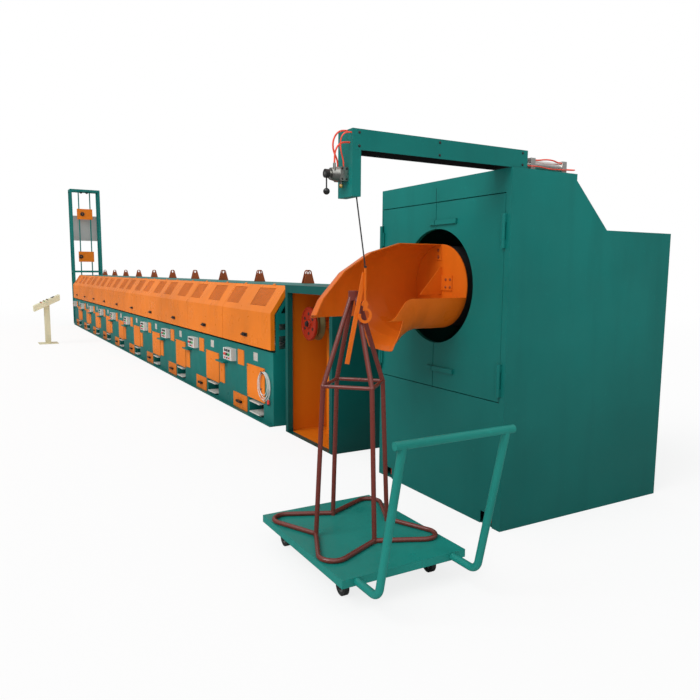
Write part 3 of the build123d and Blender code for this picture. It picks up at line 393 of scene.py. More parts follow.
class Piece:
    """One mesh piece under construction, made of blocks, bars, plates and turned shapes."""

    def __init__(self, name: str, finish: Finish) -> None:
        self.name = name
        self.finishes = [finish]
        self.mesh = bmesh.new()
        self.settled: set[bmesh.types.BMVert] = set()
        self.current = 0

    def wear(self, finish: Finish) -> None:
        """Sets the finish of what is added from here on."""
        if finish not in self.finishes:
            self.finishes.append(finish)
        self.current = self.finishes.index(finish)

    def fresh(self) -> list[bmesh.types.BMVert]:
        """The vertices of the shape that is being added."""
        return [vertex for vertex in self.mesh.verts if vertex not in self.settled]

    def settle(self, place: Matrix) -> None:
        """Ends a shape: moves it from its own axes to its place and gives it the current finish."""
        vertices = self.fresh()
        bmesh.ops.transform(self.mesh, matrix=place, verts=vertices)
        for face in {face for vertex in vertices for face in vertex.link_faces}:
            face.material_index = self.current
        self.settled.update(vertices)

    def block(self, low: Point, high: Point, soften: float = 0.0) -> None:
        """Adds a block.

        Args:
            low: Lowest corner.
            high: Highest corner.
            soften: Width of the bevel on its edges.
        """
        size = Vector(high) - Vector(low)
        centre = (Vector(high) + Vector(low)) / 2
        vertices = bmesh.ops.create_cube(self.mesh, size=1.0)["verts"]
        bmesh.ops.scale(self.mesh, vec=size, verts=vertices)
        if soften > 0.0:
            edges = list({edge for vertex in vertices for edge in vertex.link_edges})
            bmesh.ops.bevel(self.mesh, geom=edges, offset=soften, segments=2, affect="EDGES", profile=0.5,
                            material=-1)
        self.settle(Matrix.Translation(centre))

    def bar(self, start: Point, end: Point, radius: float, far_radius: float | None = None,
            sides: int = 20) -> None:
        """Adds a round or hexagonal bar.

        Args:
            start: Centre of one end.
            end: Centre of the other.
            radius: Radius at the start.
            far_radius: Radius at the end, the same if left out.
            sides: Number of flats round it.
        """
        run = Vector(end) - Vector(start)
        bmesh.ops.create_cone(self.mesh, cap_ends=True, segments=sides, radius1=radius,
                              radius2=radius if far_radius is None else far_radius, depth=run.length)
        self.settle(Matrix.Translation((Vector(start) + Vector(end)) / 2) @ turned_to(run))

    def bolt(self, centre: Point, side: Side, radius: float) -> None:
        """Adds a washer and a hexagonal head on a face.

        Args:
            centre: Middle of the bolt on the face.
            side: The way the face looks.
            radius: Radius of the head.
        """
        root = Vector(centre)
        seat = root + side.vector * radius * 0.25
        self.bar(root, seat, radius * 1.6, sides=16)
        self.bar(seat, root + side.vector * radius, radius, radius * 0.94, sides=6)

    def lathe(self, profile: Outline, centre: Point, direction: Vector, sides: int) -> None:
        """Adds a turned shape.

        Args:
            profile: Radius and height of each point, a closed outline round the metal.
            centre: Where height 0 lies on the axis.
            direction: The axis.
            sides: Steps of the full turn.
        """
        corners = [self.mesh.verts.new((radius, 0.0, height)) for radius, height in profile]
        edges = [self.mesh.edges.new((first, second))
                 for first, second in zip(corners, corners[1:] + corners[:1])]
        bmesh.ops.spin(self.mesh, geom=corners + edges, cent=(0, 0, 0), axis=(0, 0, 1), dvec=(0, 0, 0),
                       angle=math.tau, steps=sides, use_merge=True)
        bmesh.ops.remove_doubles(self.mesh, verts=self.fresh(), dist=1e-6)
        self.settle(Matrix.Translation(centre) @ turned_to(direction))

    def plate(self, outline: Outline, origin: Point, across: Point, upward: Point,
              thickness: float) -> None:
        """Adds a flat plate of any outline.

        Args:
            outline: Corners along the two directions.
            origin: Where the outline's zero lies.
            across: First direction of the outline.
            upward: Second direction of the outline.
            thickness: Thickness along their cross product.
        """
        first, second = Vector(across).normalized(), Vector(upward).normalized()
        corners = [self.mesh.verts.new(Vector(origin) + first * x + second * y) for x, y in outline]
        face = self.mesh.faces.new(corners)
        grown = bmesh.ops.extrude_face_region(self.mesh, geom=[face])["geom"]
        top = [item for item in grown if isinstance(item, bmesh.types.BMVert)]
        bmesh.ops.translate(self.mesh, vec=first.cross(second) * thickness, verts=top)
        self.settle(Matrix.Identity(4))

    def place(self, body: str, slot: str, *stands_for: str) -> bpy.types.Object:
        """Makes the object, with its place in its mesh, and lets it ride on a body.

        Args:
            body: CAD body that it moves with.
            slot: Material slot of the record, not used.
            stands_for: CAD nodes that it replaces.

        Returns:
            The new object.
        """
        bmesh.ops.recalc_face_normals(self.mesh, faces=self.mesh.faces)
        data = bpy.data.meshes.new(self.name)
        self.mesh.to_mesh(data)
        self.mesh.free()
        data.polygons.foreach_set("use_smooth", [True] * len(data.polygons))
        data.set_sharp_from_angle(angle=SMOOTH_ANGLE)
        for finish in self.finishes:
            data.materials.append(material_of(finish))
        thing = new_object(self.name, data)
        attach(thing, body)
        if stands_for:
            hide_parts(*stands_for)
        log.info("placed %s", self.name)
        return thing


@dataclass
class Blocks:
    """The ten drawing blocks: paint of the bases, housings and hoods, and what is screwed to them."""

    pitch: float = 1.6
    count: int = 10
    base_front: float = -0.45
    panel_depth: float = 0.008
    paint_margin: float = 0.001
    box_x: float = -0.523
    box_relief: float = 0.018
    button_pitch: float = 0.075
    button_radius: float = 0.0175
    button_length: float = 0.021
    meter_width: float = 0.048
    meter_low: float = 0.032
    meter_high: float = 0.064
    meter_depth: float = 0.006
    lamp_drop: float = 0.048
    lamp_radius: float = 0.011
    lamp_length: float = 0.012
    hood_front: float = -0.478
    hood_bend: float = 1.276
    hood_run: float = 0.208
    hood_rise: float = 0.314
    sheet: float = 0.006
    windows: tuple[tuple[float, float], ...] = ((0.075, 0.555), (-0.755, -0.325))
    window_low: float = 0.083
    window_high: float = 0.323
    mesh_pitch: float = 0.016
    mesh_wire: float = 0.008
    mesh_depth: float = 0.002
    label_low: tuple[float, float] = (0.215, 0.686)
    label_high: tuple[float, float] = (0.345, 0.785)
    label_depth: float = 0.002
    screw_columns: tuple[float, ...] = (0.03, 0.54)
    screw_rows: tuple[float, ...] = (0.245, 0.605)
    screw_radius: float = 0.007
    screw_depth: float = 0.003
    recess_depth: float = 0.16
    recess_low: tuple[float, float] = (0.066, 0.036)
    recess_high: tuple[float, float] = (0.512, 0.212)
    back_sheet: float = 0.001

    def axis(self, index: int) -> float:
        """X of a block's axis, counted from the last block."""
        return -index * self.pitch

    def paint(self) -> None:
        """Dresses the CAD nodes of the line."""
        hood_paint = Enamel("hood_enamel", ORANGE, roughness=0.28, accent=BLACK,
                            accent_high=(FAR, self.hood_front - self.paint_margin, FAR))
        panel_front = self.base_front - self.panel_depth
        drawer_paint = Enamel("drawer_enamel", ORANGE, roughness=0.3, shade_share=0.5, accent=BLACK,
                              accent_high=(FAR, panel_front - self.paint_margin, FAR))
        dress(hood_paint, *named("hood_"))
        dress(GREEN_PAINT, *named("base_"), *named("housing_"))
        dress(ORANGE_PAINT, "access_doors")
        dress(drawer_paint, "drawers")
        dress(STEEL, "capstans")
        dress(PEDAL_STEEL, "pedals")
        # Lifting lugs in the darkened orange with painted shade.
        dress(LUG_PAINT, "lifting_lugs")
        dress(PANEL_PAINT, "control_boxes")

    def controls(self) -> None:
        """Buttons, lamps and meters on each control box."""
        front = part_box("control_boxes")[0].y + self.box_relief
        middle = middle_of("control_boxes").z
        lamp_z = middle - self.lamp_drop
        rim, length = self.button_radius, self.button_length
        button = [(0.0, 0.0), (rim, 0.0), (rim, length * 0.7), (rim * 0.8, length), (0.0, length)]
        buttons = Piece("push_buttons", RED_PLASTIC)
        lamps = Piece("lamps_and_meters", BLACK_PLASTIC)
        for index in range(self.count):
            centre = self.axis(index) + self.box_x
            for step, finish in ((-1, RED_PLASTIC), (0, BLACK_PLASTIC), (1, GREEN_PLASTIC)):
                x = centre + step * self.button_pitch
                buttons.wear(finish)
                buttons.lathe(button, (x, front, middle), Side.FRONT.vector, 16)
                lamps.wear(BLACK_PLASTIC)
                lamps.block((x - self.meter_width / 2, front - self.meter_depth, middle + self.meter_low),
                            (x + self.meter_width / 2, front, middle + self.meter_high), 0.002)
                lamps.wear(RED_PLASTIC if step else BLACK_PLASTIC)
                lamps.bar((x, front, lamp_z), (x, front - self.lamp_length, lamp_z), self.lamp_radius,
                          sides=12)
        buttons.place("root", "control_panel")
        lamps.place("root", "control_panel")

    def mesh_windows(self) -> None:
        """Woven wire behind the two windows of each hood."""
        slope = math.hypot(self.hood_run, self.hood_rise)
        along = Vector((0.0, self.hood_run / slope, self.hood_rise / slope))
        across = Side.EXIT.vector
        out = across.cross(along)
        bend = Vector((0.0, self.hood_front, self.hood_bend))
        half = self.mesh_wire / 2
        for index in range(self.count):
            number = self.count - index
            mesh = Piece(f"window_mesh_{number:02d}", WIRE_PAINT)
            origin = bend + across * self.axis(index) - out * self.sheet
            for left, right in self.windows:
                for x in spaced(left, right, self.mesh_pitch):
                    mesh.plate(rectangle(x - half, x + half, self.window_low, self.window_high),
                               origin, across, along, self.mesh_depth)
                for rise in spaced(self.window_low, self.window_high, self.mesh_pitch):
                    mesh.plate(rectangle(left, right, rise - half, rise + half),
                               origin + out * self.mesh_depth, across, along, self.mesh_depth)
            mesh.place(f"hood_{number:02d}", "orange_paint")

    def plates(self) -> None:
        """Bare plates, the screws of the doors and black sheets at the backs of the pedal recesses, which are
        painted shade.
        """
        plates = Piece("bare_plates", LABEL_GREY)
        screws = Piece("door_screws", DARK_STEEL)
        recess_shade = Piece("recess_shade_sheets", BLACK_PLASTIC)
        front = self.base_front
        panel_front = front - self.panel_depth
        back = front + self.recess_depth - self.back_sheet
        for index in range(self.count):
            x = self.axis(index)
            plates.block((x + self.label_low[0], front - self.label_depth, self.label_low[1]),
                         (x + self.label_high[0], front, self.label_high[1]), 0.0006)
            # Black sheet at the back of each pedal recess: painted shade.
            recess_shade.block((x + self.recess_low[0], back - self.back_sheet, self.recess_low[1]),
                        (x + self.recess_high[0], back, self.recess_high[1]))
            for side, z in product(self.screw_columns, self.screw_rows):
                screws.bar((x + side, panel_front, z), (x + side, panel_front - self.screw_depth, z),
                           self.screw_radius, sides=10)
        plates.place("root", "polished_steel")
        recess_shade.place("root", "dark_metal")
        screws.place("root", "dark_metal")


@dataclass
class Coiler:
    """Cabinet, doors, drum and what is fixed to them."""

    bolt_rows: tuple[float, ...] = (-1.44, -0.89, -0.23)
    bolt_inset: float = 0.02
    bolt_radius: float = 0.005
    seam_x: float = 3.558
    seam_height: float = 0.1
    seam_width: float = 0.005
    seam_depth: float = 0.0006
    beam_wall: float = 0.003
    valve_out: float = 0.025
    screw_out: float = 0.038
    screw_side: float = 0.014
    screw_rise: float = 0.028
    screw_radius: float = 0.004
    ball_radius: float = 0.0185
    ball_rise: float = 0.013
    chute_wall: float = 0.008
    bracket_angles: tuple[float, ...] = (-4.0, 118.0, 180.0)
    bracket_half: float = 0.035
    bracket_leg: float = 0.11
    bracket_foot: float = 0.16
    bracket_sheet: float = 0.006
    bracket_bolts: tuple[float, ...] = (0.035, 0.085)
    bracket_bolt_radius: float = 0.008
    gusset_x: float = 0.02
    gusset_sheet: float = 0.008
    gusset_bolt_columns: tuple[float, ...] = (-0.05, 0.08, 0.13)
    gusset_bolt_rows: tuple[float, ...] = (-0.005, 0.05)
    gusset_bolt_radius: float = 0.007

    def paint(self) -> None:
        """Dresses the CAD nodes of the coiler."""
        dress(CABINET_PAINT, "cabinet")
        dress(DOOR_PAINT, "door_left", "door_right")
        dress(CAST_IRON, "drum", "drum_pedestal")
        dress(RED_PAINT, "feet")
        # The chute, its root, the hook and the guide bar take the orange with painted shade.
        dress(CHUTE_PAINT, "chute", "chute_root", "hook", "guide_bar")
        low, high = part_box("beam")
        wall = self.beam_wall
        # Black inside the beam's channel is painted shade.
        dress(Enamel("beam_enamel", TEAL, shade_share=0.5, accent=BLACK,
                     accent_low=(low.x + wall, low.y + wall, -FAR),
                     accent_high=(high.x - wall, FAR, high.z - wall)), "beam")
        dress(GREEN_PAINT, "beam_head")
        dress(ALUMINIUM, "air_cylinder")
        dress(DARK_STEEL, "rope")
        dress(ZINC, "valve")
        dress(BLACK_PLASTIC, "valve_lever")

    def fastenings(self) -> None:
        """Bolts along the beam and the seam of the cabinet's front sheets above the doors."""
        low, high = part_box("beam")
        bolts = Piece("beam_bolts", DARK_STEEL)
        for y, z in product(self.bolt_rows, (low.z + self.bolt_inset, high.z - self.bolt_inset)):
            bolts.bolt((high.x, y, z), Side.EXIT, self.bolt_radius)
            bolts.bolt((low.x, y, z), Side.ENTRY, self.bolt_radius)
        bolts.place("root", "dark_metal")
        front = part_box("cabinet")[0].y
        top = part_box("door_right")[1].z
        seams = Piece("cabinet_seam", SEAM_PAINT)
        seams.block((self.seam_x - self.seam_width / 2, front - self.seam_depth, top),
                    (self.seam_x + self.seam_width / 2, front, top + self.seam_height))
        seams.place("root", "green_paint")

    def valve_fittings(self) -> None:
        """Brass drain below the valve, screws on its block and the ball of its lever."""
        beam_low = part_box("beam")[0]
        x, y = middle_of("beam").x, beam_low.y - self.valve_out
        middle = beam_low.z - VALVE_DROP
        drain = Piece("valve_drain", BRASS)
        drain.lathe([(0.0, -0.0005), (0.0112, -0.0005), (0.0125, 0.004), (0.0125, 0.018), (0.0105, 0.021),
                     (0.0, 0.021)], (x, y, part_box("valve")[0].z), Side.UP.vector, 24)
        drain.wear(DARK_STEEL)
        for side, rise in product((-self.screw_side, self.screw_side), (-self.screw_rise, self.screw_rise)):
            drain.bolt((x + self.screw_out, y + side, middle + rise), Side.EXIT, self.screw_radius)
        drain.place("root", "polished_steel")
        turns = [math.radians(angle) for angle in range(-90, 91, 15)]
        knob = Piece("lever_ball", BLACK_PLASTIC)
        knob.lathe([(self.ball_radius * math.cos(turn), self.ball_radius * math.sin(turn)) for turn in turns],
                   (x, middle_of("valve_lever").y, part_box("valve_lever")[0].z + self.ball_rise),
                   Side.UP.vector, 28)
        knob.place(BODY_OF["valve_lever"], "black_plastic")

    def chute_fittings(self) -> None:
        """Angle brackets, gusset and bolts at the root of the chute."""
        low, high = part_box("chute_root")
        middle = middle_of("chute_root")
        reach = (high.z - low.z) / 2 - self.chute_wall
        half = self.bracket_half
        outward = [around(math.radians(angle)) for angle in self.bracket_angles]
        fittings = Piece("chute_fittings", CHUTE_PAINT)
        for out in outward:
            side = Vector((out.z, 0.0, -out.x))
            foot = middle + out * reach
            foot.y = low.y
            for length, upward in ((self.bracket_leg, out), (self.bracket_foot, Side.BACK.vector)):
                fittings.plate(rectangle(-half, half, 0.0, -length), foot, side, upward, self.bracket_sheet)
        # The bolts take the dark brownish orange: painted shade on orange bolt heads.
        fittings.wear(LUG_PAINT)
        for out, inset in product(outward, self.bracket_bolts):
            spot = middle + out * (reach - inset)
            fittings.bolt((spot.x, low.y - self.bracket_sheet, spot.z), Side.FRONT, self.bracket_bolt_radius)
        fittings.wear(CHUTE_PAINT)
        fittings.plate([(0.0, 0.0), (-0.20, 0.0), (-0.02, 0.20), (0.0, 0.20)],
                       (middle.x + self.gusset_x, low.y, middle.z - 0.06), Side.BACK.vector,
                       Side.UP.vector, self.gusset_sheet)
        fittings.plate(rectangle(-0.10, 0.13, -0.05, 0.06),
                       (middle.x + self.gusset_x, low.y, middle.z + 0.02), Side.EXIT.vector,
                       Side.UP.vector, self.gusset_sheet)
        # These bolts are also in the darkened orange with painted shade.
        fittings.wear(LUG_PAINT)
        for x, z in product(self.gusset_bolt_columns, self.gusset_bolt_rows):
            fittings.bolt((middle.x + x, low.y - self.gusset_sheet, middle.z + z), Side.FRONT,
                          self.gusset_bolt_radius)
        fittings.place(BODY_OF["chute"], "orange_paint")


@dataclass
class PulleyBox:
    """Frame box with the wire wheel."""

    wall: float = 0.006
    post: float = 0.0605
    axle_radius: float = 0.030
    hole_count: int = 6
    hole_ring: float = 0.58
    hole_radius: float = 0.016
    nut_radius: float = 0.027
    washer_radius: float = 0.034

    def paint(self) -> None:
        """Dresses the CAD nodes of the pulley box."""
        low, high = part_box("pulley_box")
        inner = self.wall / 2
        # The box's teal at half strength is painted shade on its dark sides.
        dress(Enamel("box_enamel", darker(TEAL, 0.5), shade_share=0.5, accent=darker(ORANGE, 0.8),
                     accent_low=(low.x + inner, low.y + self.post, low.z + inner),
                     accent_high=(high.x - inner, high.y - inner, high.z - inner)), "pulley_box")
        dress(OLIVE_IRON, "sheave")
        dress(RED_PAINT, "sheave_face")

    def hub(self) -> None:
        """Boss, rim and dark holes of the wire wheel, with the nut on its axle."""
        low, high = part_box("sheave_face")
        radius = (high.z - low.z) / 2
        front = middle_of("sheave_face")
        front.y = low.y
        out = Side.FRONT.vector
        hub = Piece("wheel_hub", RED_PAINT)
        hub.lathe([(self.axle_radius, 0.0), (radius * 0.30, 0.0), (radius * 0.26, 0.014),
                   (self.axle_radius, 0.018)], front, out, 40)
        hub.lathe([(radius * 0.86, 0.0), (radius * 0.97, 0.0), (radius * 0.95, 0.007),
                   (radius * 0.88, 0.007)], front, out, 56)
        hub.wear(DARK_STEEL)
        for step in range(self.hole_count):
            spot = front + around(math.tau * step / self.hole_count) * radius * self.hole_ring
            hub.bar(spot, spot + out * 0.003, self.hole_radius)
        hub.place(BODY_OF["sheave"], "red_paint")
        nut = Piece("axle_nut", DARK_STEEL)
        axle_end = front + out * 0.012
        nut.bar(axle_end, axle_end + out * 0.006, self.washer_radius, sides=28)
        nut.bar(axle_end + out * 0.006, axle_end + out * 0.024, self.nut_radius, 0.026, sides=6)
        nut.place("root", "dark_metal")


class Trolley:
    """Coil trolley and the stand on it."""

    def paint(self) -> None:
        """Dresses the CAD nodes of the trolley."""
        dress(TROLLEY_PAINT, "trolley_deck", "push_handle")
        dress(BROWN_PAINT, "stand_legs", "stand_ring")
        dress(DARK_STEEL, "fixed_forks", *named("caster_fork"))
        dress(WHEEL_RUBBER, *named("caster_wheel"))

    def hubs(self) -> None:
        """Bright hubs on both sides of each caster wheel."""
        for name in named("caster_wheel"):
            low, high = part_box(name)
            middle = middle_of(name)
            hub = Piece(name.replace("caster_wheel", "caster_hub"), STEEL)
            for side, y in ((Side.FRONT, low.y), (Side.BACK, high.y)):
                hub.lathe([(0.0095, -0.001), (0.030, -0.001), (0.027, 0.0012), (0.012, 0.002)],
                          (middle.x, y, middle.z), side.vector, 24)
            hub.place(BODY_OF[name], "dark_metal")


@dataclass
class Entry:
    """Entry tower with its carriages, and the control desk."""

    pulley_radius: float = 0.048
    pulley_width: float = 0.034
    pulley_half: float = 0.09
    pulley_drop: float = 0.06
    wheel_radius: float = 0.062
    wheel_bore: float = 0.012
    wheel_width: float = 0.03
    wheel_offsets: tuple[tuple[str, float], ...] = (("carriage_upper", -0.0767), ("carriage_lower", -0.17))
    desk_slope: float = 25.0
    desk_columns: int = 5
    desk_rows: int = 3
    desk_column_pitch: float = 0.065
    desk_row_pitch: float = 0.075
    desk_row_start: float = -0.13
    meter_half: float = 0.045
    meter_side: float = 0.08
    meter_rise: float = 0.12

    def paint(self) -> None:
        """Dresses the CAD nodes of the tower and the desk."""
        dress(GREEN_PAINT, "tower")
        dress(ORANGE_PAINT, "carriage_upper", "carriage_lower")
        dress(GREY_PAINT, "tower_sheet")
        dress(CREAM_PAINT, "desk")

    def pulleys(self) -> None:
        """Black grooved pulleys at the top of the tower and wheels on its carriages."""
        axle_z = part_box("tower")[1].z - self.pulley_drop
        half, radius = self.pulley_width / 2, self.pulley_radius
        groove = [(0.0, -half), (radius, -half), (radius, -half * 0.6), (radius * 0.86, 0.0),
                  (radius, half * 0.6), (radius, half), (0.0, half)]
        top = Piece("tower_pulleys", BLACK_PLASTIC)
        for y in (-self.pulley_half, self.pulley_half):
            top.lathe(groove, (middle_of("tower").x, y, axle_z), Side.EXIT.vector, 36)
        top.place("root", "black_plastic")
        bore, radius, width = self.wheel_bore, self.wheel_radius, self.wheel_width
        tread = [(bore, 0.0), (radius, 0.0), (radius, 0.008), (radius * 0.97, width / 2),
                 (radius, width - 0.008), (radius, width + 0.001), (bore, width + 0.003)]
        for node, offset in self.wheel_offsets:
            middle = middle_of(node)
            wheel = Piece(node.replace("carriage", "wheel"), BLACK_PLASTIC)
            wheel.lathe(tread, (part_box(node)[1].x - width, middle.y + offset, middle.z),
                        Side.EXIT.vector, 40)
            wheel.place(BODY_OF[node], "black_plastic")

    def desk_top(self) -> None:
        """Buttons, lamps and two meters on the slope of the control desk."""
        low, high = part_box("desk")
        slope = math.radians(self.desk_slope)
        along = Vector((0.0, math.cos(slope), math.sin(slope)))
        out = Vector((0.0, -math.sin(slope), math.cos(slope)))
        across = Side.EXIT.vector
        centre = middle_of("desk")
        centre.z = high.z - (high.y - low.y) / 2 * math.tan(slope)
        buttons = Piece("desk_buttons", BLACK_PLASTIC)
        for row, column in product(range(self.desk_rows), range(self.desk_columns)):
            buttons.wear((BLACK_PLASTIC, RED_PLASTIC, GREEN_PLASTIC)[(row + column) % 3])
            spot = centre + across * (column - (self.desk_columns - 1) / 2) * self.desk_column_pitch
            spot += along * (row * self.desk_row_pitch + self.desk_row_start)
            buttons.bar(spot - out * 0.001, spot + out * 0.006, 0.017, sides=18)
            buttons.bar(spot + out * 0.006, spot + out * 0.018, 0.012, 0.011, sides=18)
        buttons.wear(BLACK_PLASTIC)
        for side in (-self.meter_side, self.meter_side):
            buttons.plate(rectangle(-self.meter_half, self.meter_half, 0.0, 0.07),
                          centre + across * side + along * self.meter_rise, across, along, 0.008)
        buttons.place("root", "control_panel")


@dataclass
class Cord:
    """A free cord drawn as one smooth spline."""

    name: str
    route: list[Point]
    diameter: float
    finish: Finish
    length: float
    slot: str
    far_end: str
    lay: str
    nodes: tuple[str, ...] = ()
    with_pieces: list[bpy.types.Object | str] = field(default_factory=list)

    def build(self) -> None:
        curve = bpy.data.curves.new(self.name, "CURVE")
        curve.dimensions = "3D"
        curve.bevel_depth = self.diameter / 2
        curve.bevel_resolution = 4
        curve.use_fill_caps = True
        curve.resolution_u = 8
        spline = curve.splines.new("NURBS")
        spline.points.add(len(self.route) - 1)
        for point, place in zip(spline.points, self.route):
            point.co = (*place, 1.0)
        spline.order_u = 3
        spline.use_endpoint_u = True
        curve.materials.append(material_of(self.finish))
        thing = new_object(self.name, curve)
        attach(thing, "root")
        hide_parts(*self.nodes)
        log.info("laid %s", self.name)


def moved(origin: Point, offsets: list[Point]) -> list[Point]:
    """Points given in millimetres from an origin in metres."""
    return [tuple(start + offset / 1000 for start, offset in zip(origin, point)) for point in offsets]


@dataclass
class AirHoses:
    """Red air hoses at the beam's head and at its cylinder."""

    thick: float = 0.010
    thin: float = 0.008
    port_y: float = 0.07

    def build(self) -> None:
        """Lays the five hoses from their lengths and their routes in millimetres."""
        low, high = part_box("beam")
        valve = ((low.x + high.x) / 2, low.y, low.z - VALVE_DROP)
        low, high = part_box("air_cylinder")
        cylinder = (valve[0], low.y + self.port_y, (low.z + high.z) / 2)
        hoses = {
            "head_hose_upper": (valve, self.thick, 0.263, "hose_head", [
                (25, 0, 233), (25, -35, 233), (21, -65, 216), (13, -81, 185), (3, -81, 151), (-6, -69, 119),
                (-13, -49, 92), (-18, -37, 65), (-18, -37, 38)]),
            "head_hose_lower": (valve, self.thick, 0.170, "hose_head", [
                (48, 0, 168), (48, -36, 168), (44, -66, 152), (36, -82, 122), (26, -82, 88), (26, -82, 55)]),
            "head_hose_thin": (valve, self.thin, 0.237, "hose_head", [
                (70, 0, 218), (70, -28, 218), (69, -52, 205), (65, -65, 181), (57, -64, 142), (45, -50, 108),
                (32, -33, 84), (28, -26, 62), (28, -26, 38)]),
            "rear_hose_thin": (cylinder, self.thin, 0.624, "hose_rear", [
                (60, -70, -16), (61, -20, -18), (63, 40, -14), (61, 105, -20), (63, 170, -24), (62, 235, -20),
                (62, 300, -18), (62, 345, -16), (62, 374, -14), (50, 399, -9), (27, 414, -4), (0, 413, 1),
                (-23, 400, 5), (-36, 374, 8), (-36, 330, 8)]),
            "rear_hose_upper": (cylinder, self.thick, 0.254, "hose_rear", [
                (28, 40, 30), (28, 72, 30), (42, 118, 37), (49, 165, 38), (42, 212, 36), (28, 258, 30),
                (28, 290, 30)]),
        }
        for name, (origin, diameter, length, node, offsets) in hoses.items():
            Cord(name, moved(origin, offsets), diameter, HOSE_RED, length, "red_hose", "object", "loose",
                 nodes=(node,)).build()


@dataclass
class ControlCable:
    """Coil of control cable that hangs from a peg on the last block, with its plug."""

    diameter: float = 0.0065
    radii: tuple[float, ...] = (0.165, 0.122, 0.174, 0.142, 0.180, 0.150)
    steps: int = 16
    first_point: int = 3
    last_point: int = 88
    turn_pitch: float = 0.0068
    front_inset: float = 0.006
    peg_drop: float = 0.014
    peg_radius: float = 0.006
    gland_radius: float = 0.010
    gland_length: float = 0.014
    grip_back: float = 0.014
    grip_rise: float = 0.012

    def turns(self, centre: Point, front: float, top: float) -> list[Point]:
        """Turns of a cable that hang from one peg, each in a plane of its own.

        Args:
            centre: Middle of the coil.
            front: Y of the first turn, the one furthest out.
            top: Z of the point where the turns hang.

        Returns:
            The points of all turns, clockwise as the operator sees them, from the left.
        """
        points = []
        for number in range(len(self.radii) * self.steps):
            turn = number / self.steps
            index = min(int(turn), len(self.radii) - 2)
            step = self.radii[index + 1] - self.radii[index]
            radius = self.radii[index] + step * min(turn - index, 1.0)
            angle = math.tau * (turn + 0.25)
            points.append((centre[0] - math.sin(angle) * radius, front + self.turn_pitch * turn,
                           top - radius - math.cos(angle) * radius))
        return points

    def plug(self, grip: Vector) -> bpy.types.Object:
        """Makes the plug.

        Args:
            grip: Top of its grip, where the cable goes in.

        Returns:
            The plug's object.
        """
        down = Side.DOWN.vector
        plug = Piece("cable_plug_body", RED_PLASTIC)
        plug.lathe([(0.0, 0.0), (0.007, 0.0), (0.012, 0.012), (0.0155, 0.022), (0.0155, 0.05), (0.0, 0.05)],
                   grip, down, 28)
        plug.wear(DARK_STEEL)
        plug.bar(grip + down * 0.05, grip + down * 0.066, 0.013, sides=24)
        return plug.place("root", "black_plastic", "cable_plug")

    def build(self) -> None:
        """Makes the plug and the peg, and lays the cable from its gland round the coil to the plug."""
        low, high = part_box("cable_coil")
        middle = middle_of("cable_coil")
        peg_z = high.z - self.peg_drop
        turns = self.turns(middle, low.y + self.front_inset, peg_z)
        start = (middle.x - 0.112, high.y, middle.z - 0.045)
        lead = moved(start, [(0, 0, 0), (0, -10, 0), (0, -25.8, 9.2), (0, -35, 25), (-1, -36.3, 43),
                             (-2, -38, 112)])
        grip = middle_of("cable_plug") + Side.BACK.vector * self.grip_back
        grip.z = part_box("cable_plug")[1].z + self.grip_rise
        last_y = turns[self.last_point][1]
        tail = [(middle.x + 0.152, last_y - 0.001, middle.z - 0.037),
                (middle.x + 0.143, last_y - 0.008, middle.z - 0.087),
                (grip.x, grip.y, grip.z + 0.018), tuple(grip)]
        plug = self.plug(grip)
        peg = Piece("coil_peg", DARK_STEEL)
        tip_y = low.y - 0.004
        rod_z = peg_z - 0.011
        peg.bar((middle.x, high.y, rod_z), (middle.x, tip_y, rod_z), self.peg_radius)
        peg.bar((middle.x, tip_y, peg_z - 0.016), (middle.x, tip_y, peg_z + 0.012), self.peg_radius)
        peg.bar(start, (start[0], high.y - self.gland_length, start[2]), self.gland_radius, 0.006)
        peg.place("root", "dark_metal")
        route = lead + turns[self.first_point:self.last_point + 1] + tail
        Cord("control_cable", route, self.diameter, CABLE_GREY, CABLE_LENGTH, "grey_cable", "plug", "coiled",
             nodes=("cable_coil",), with_pieces=[plug]).build()


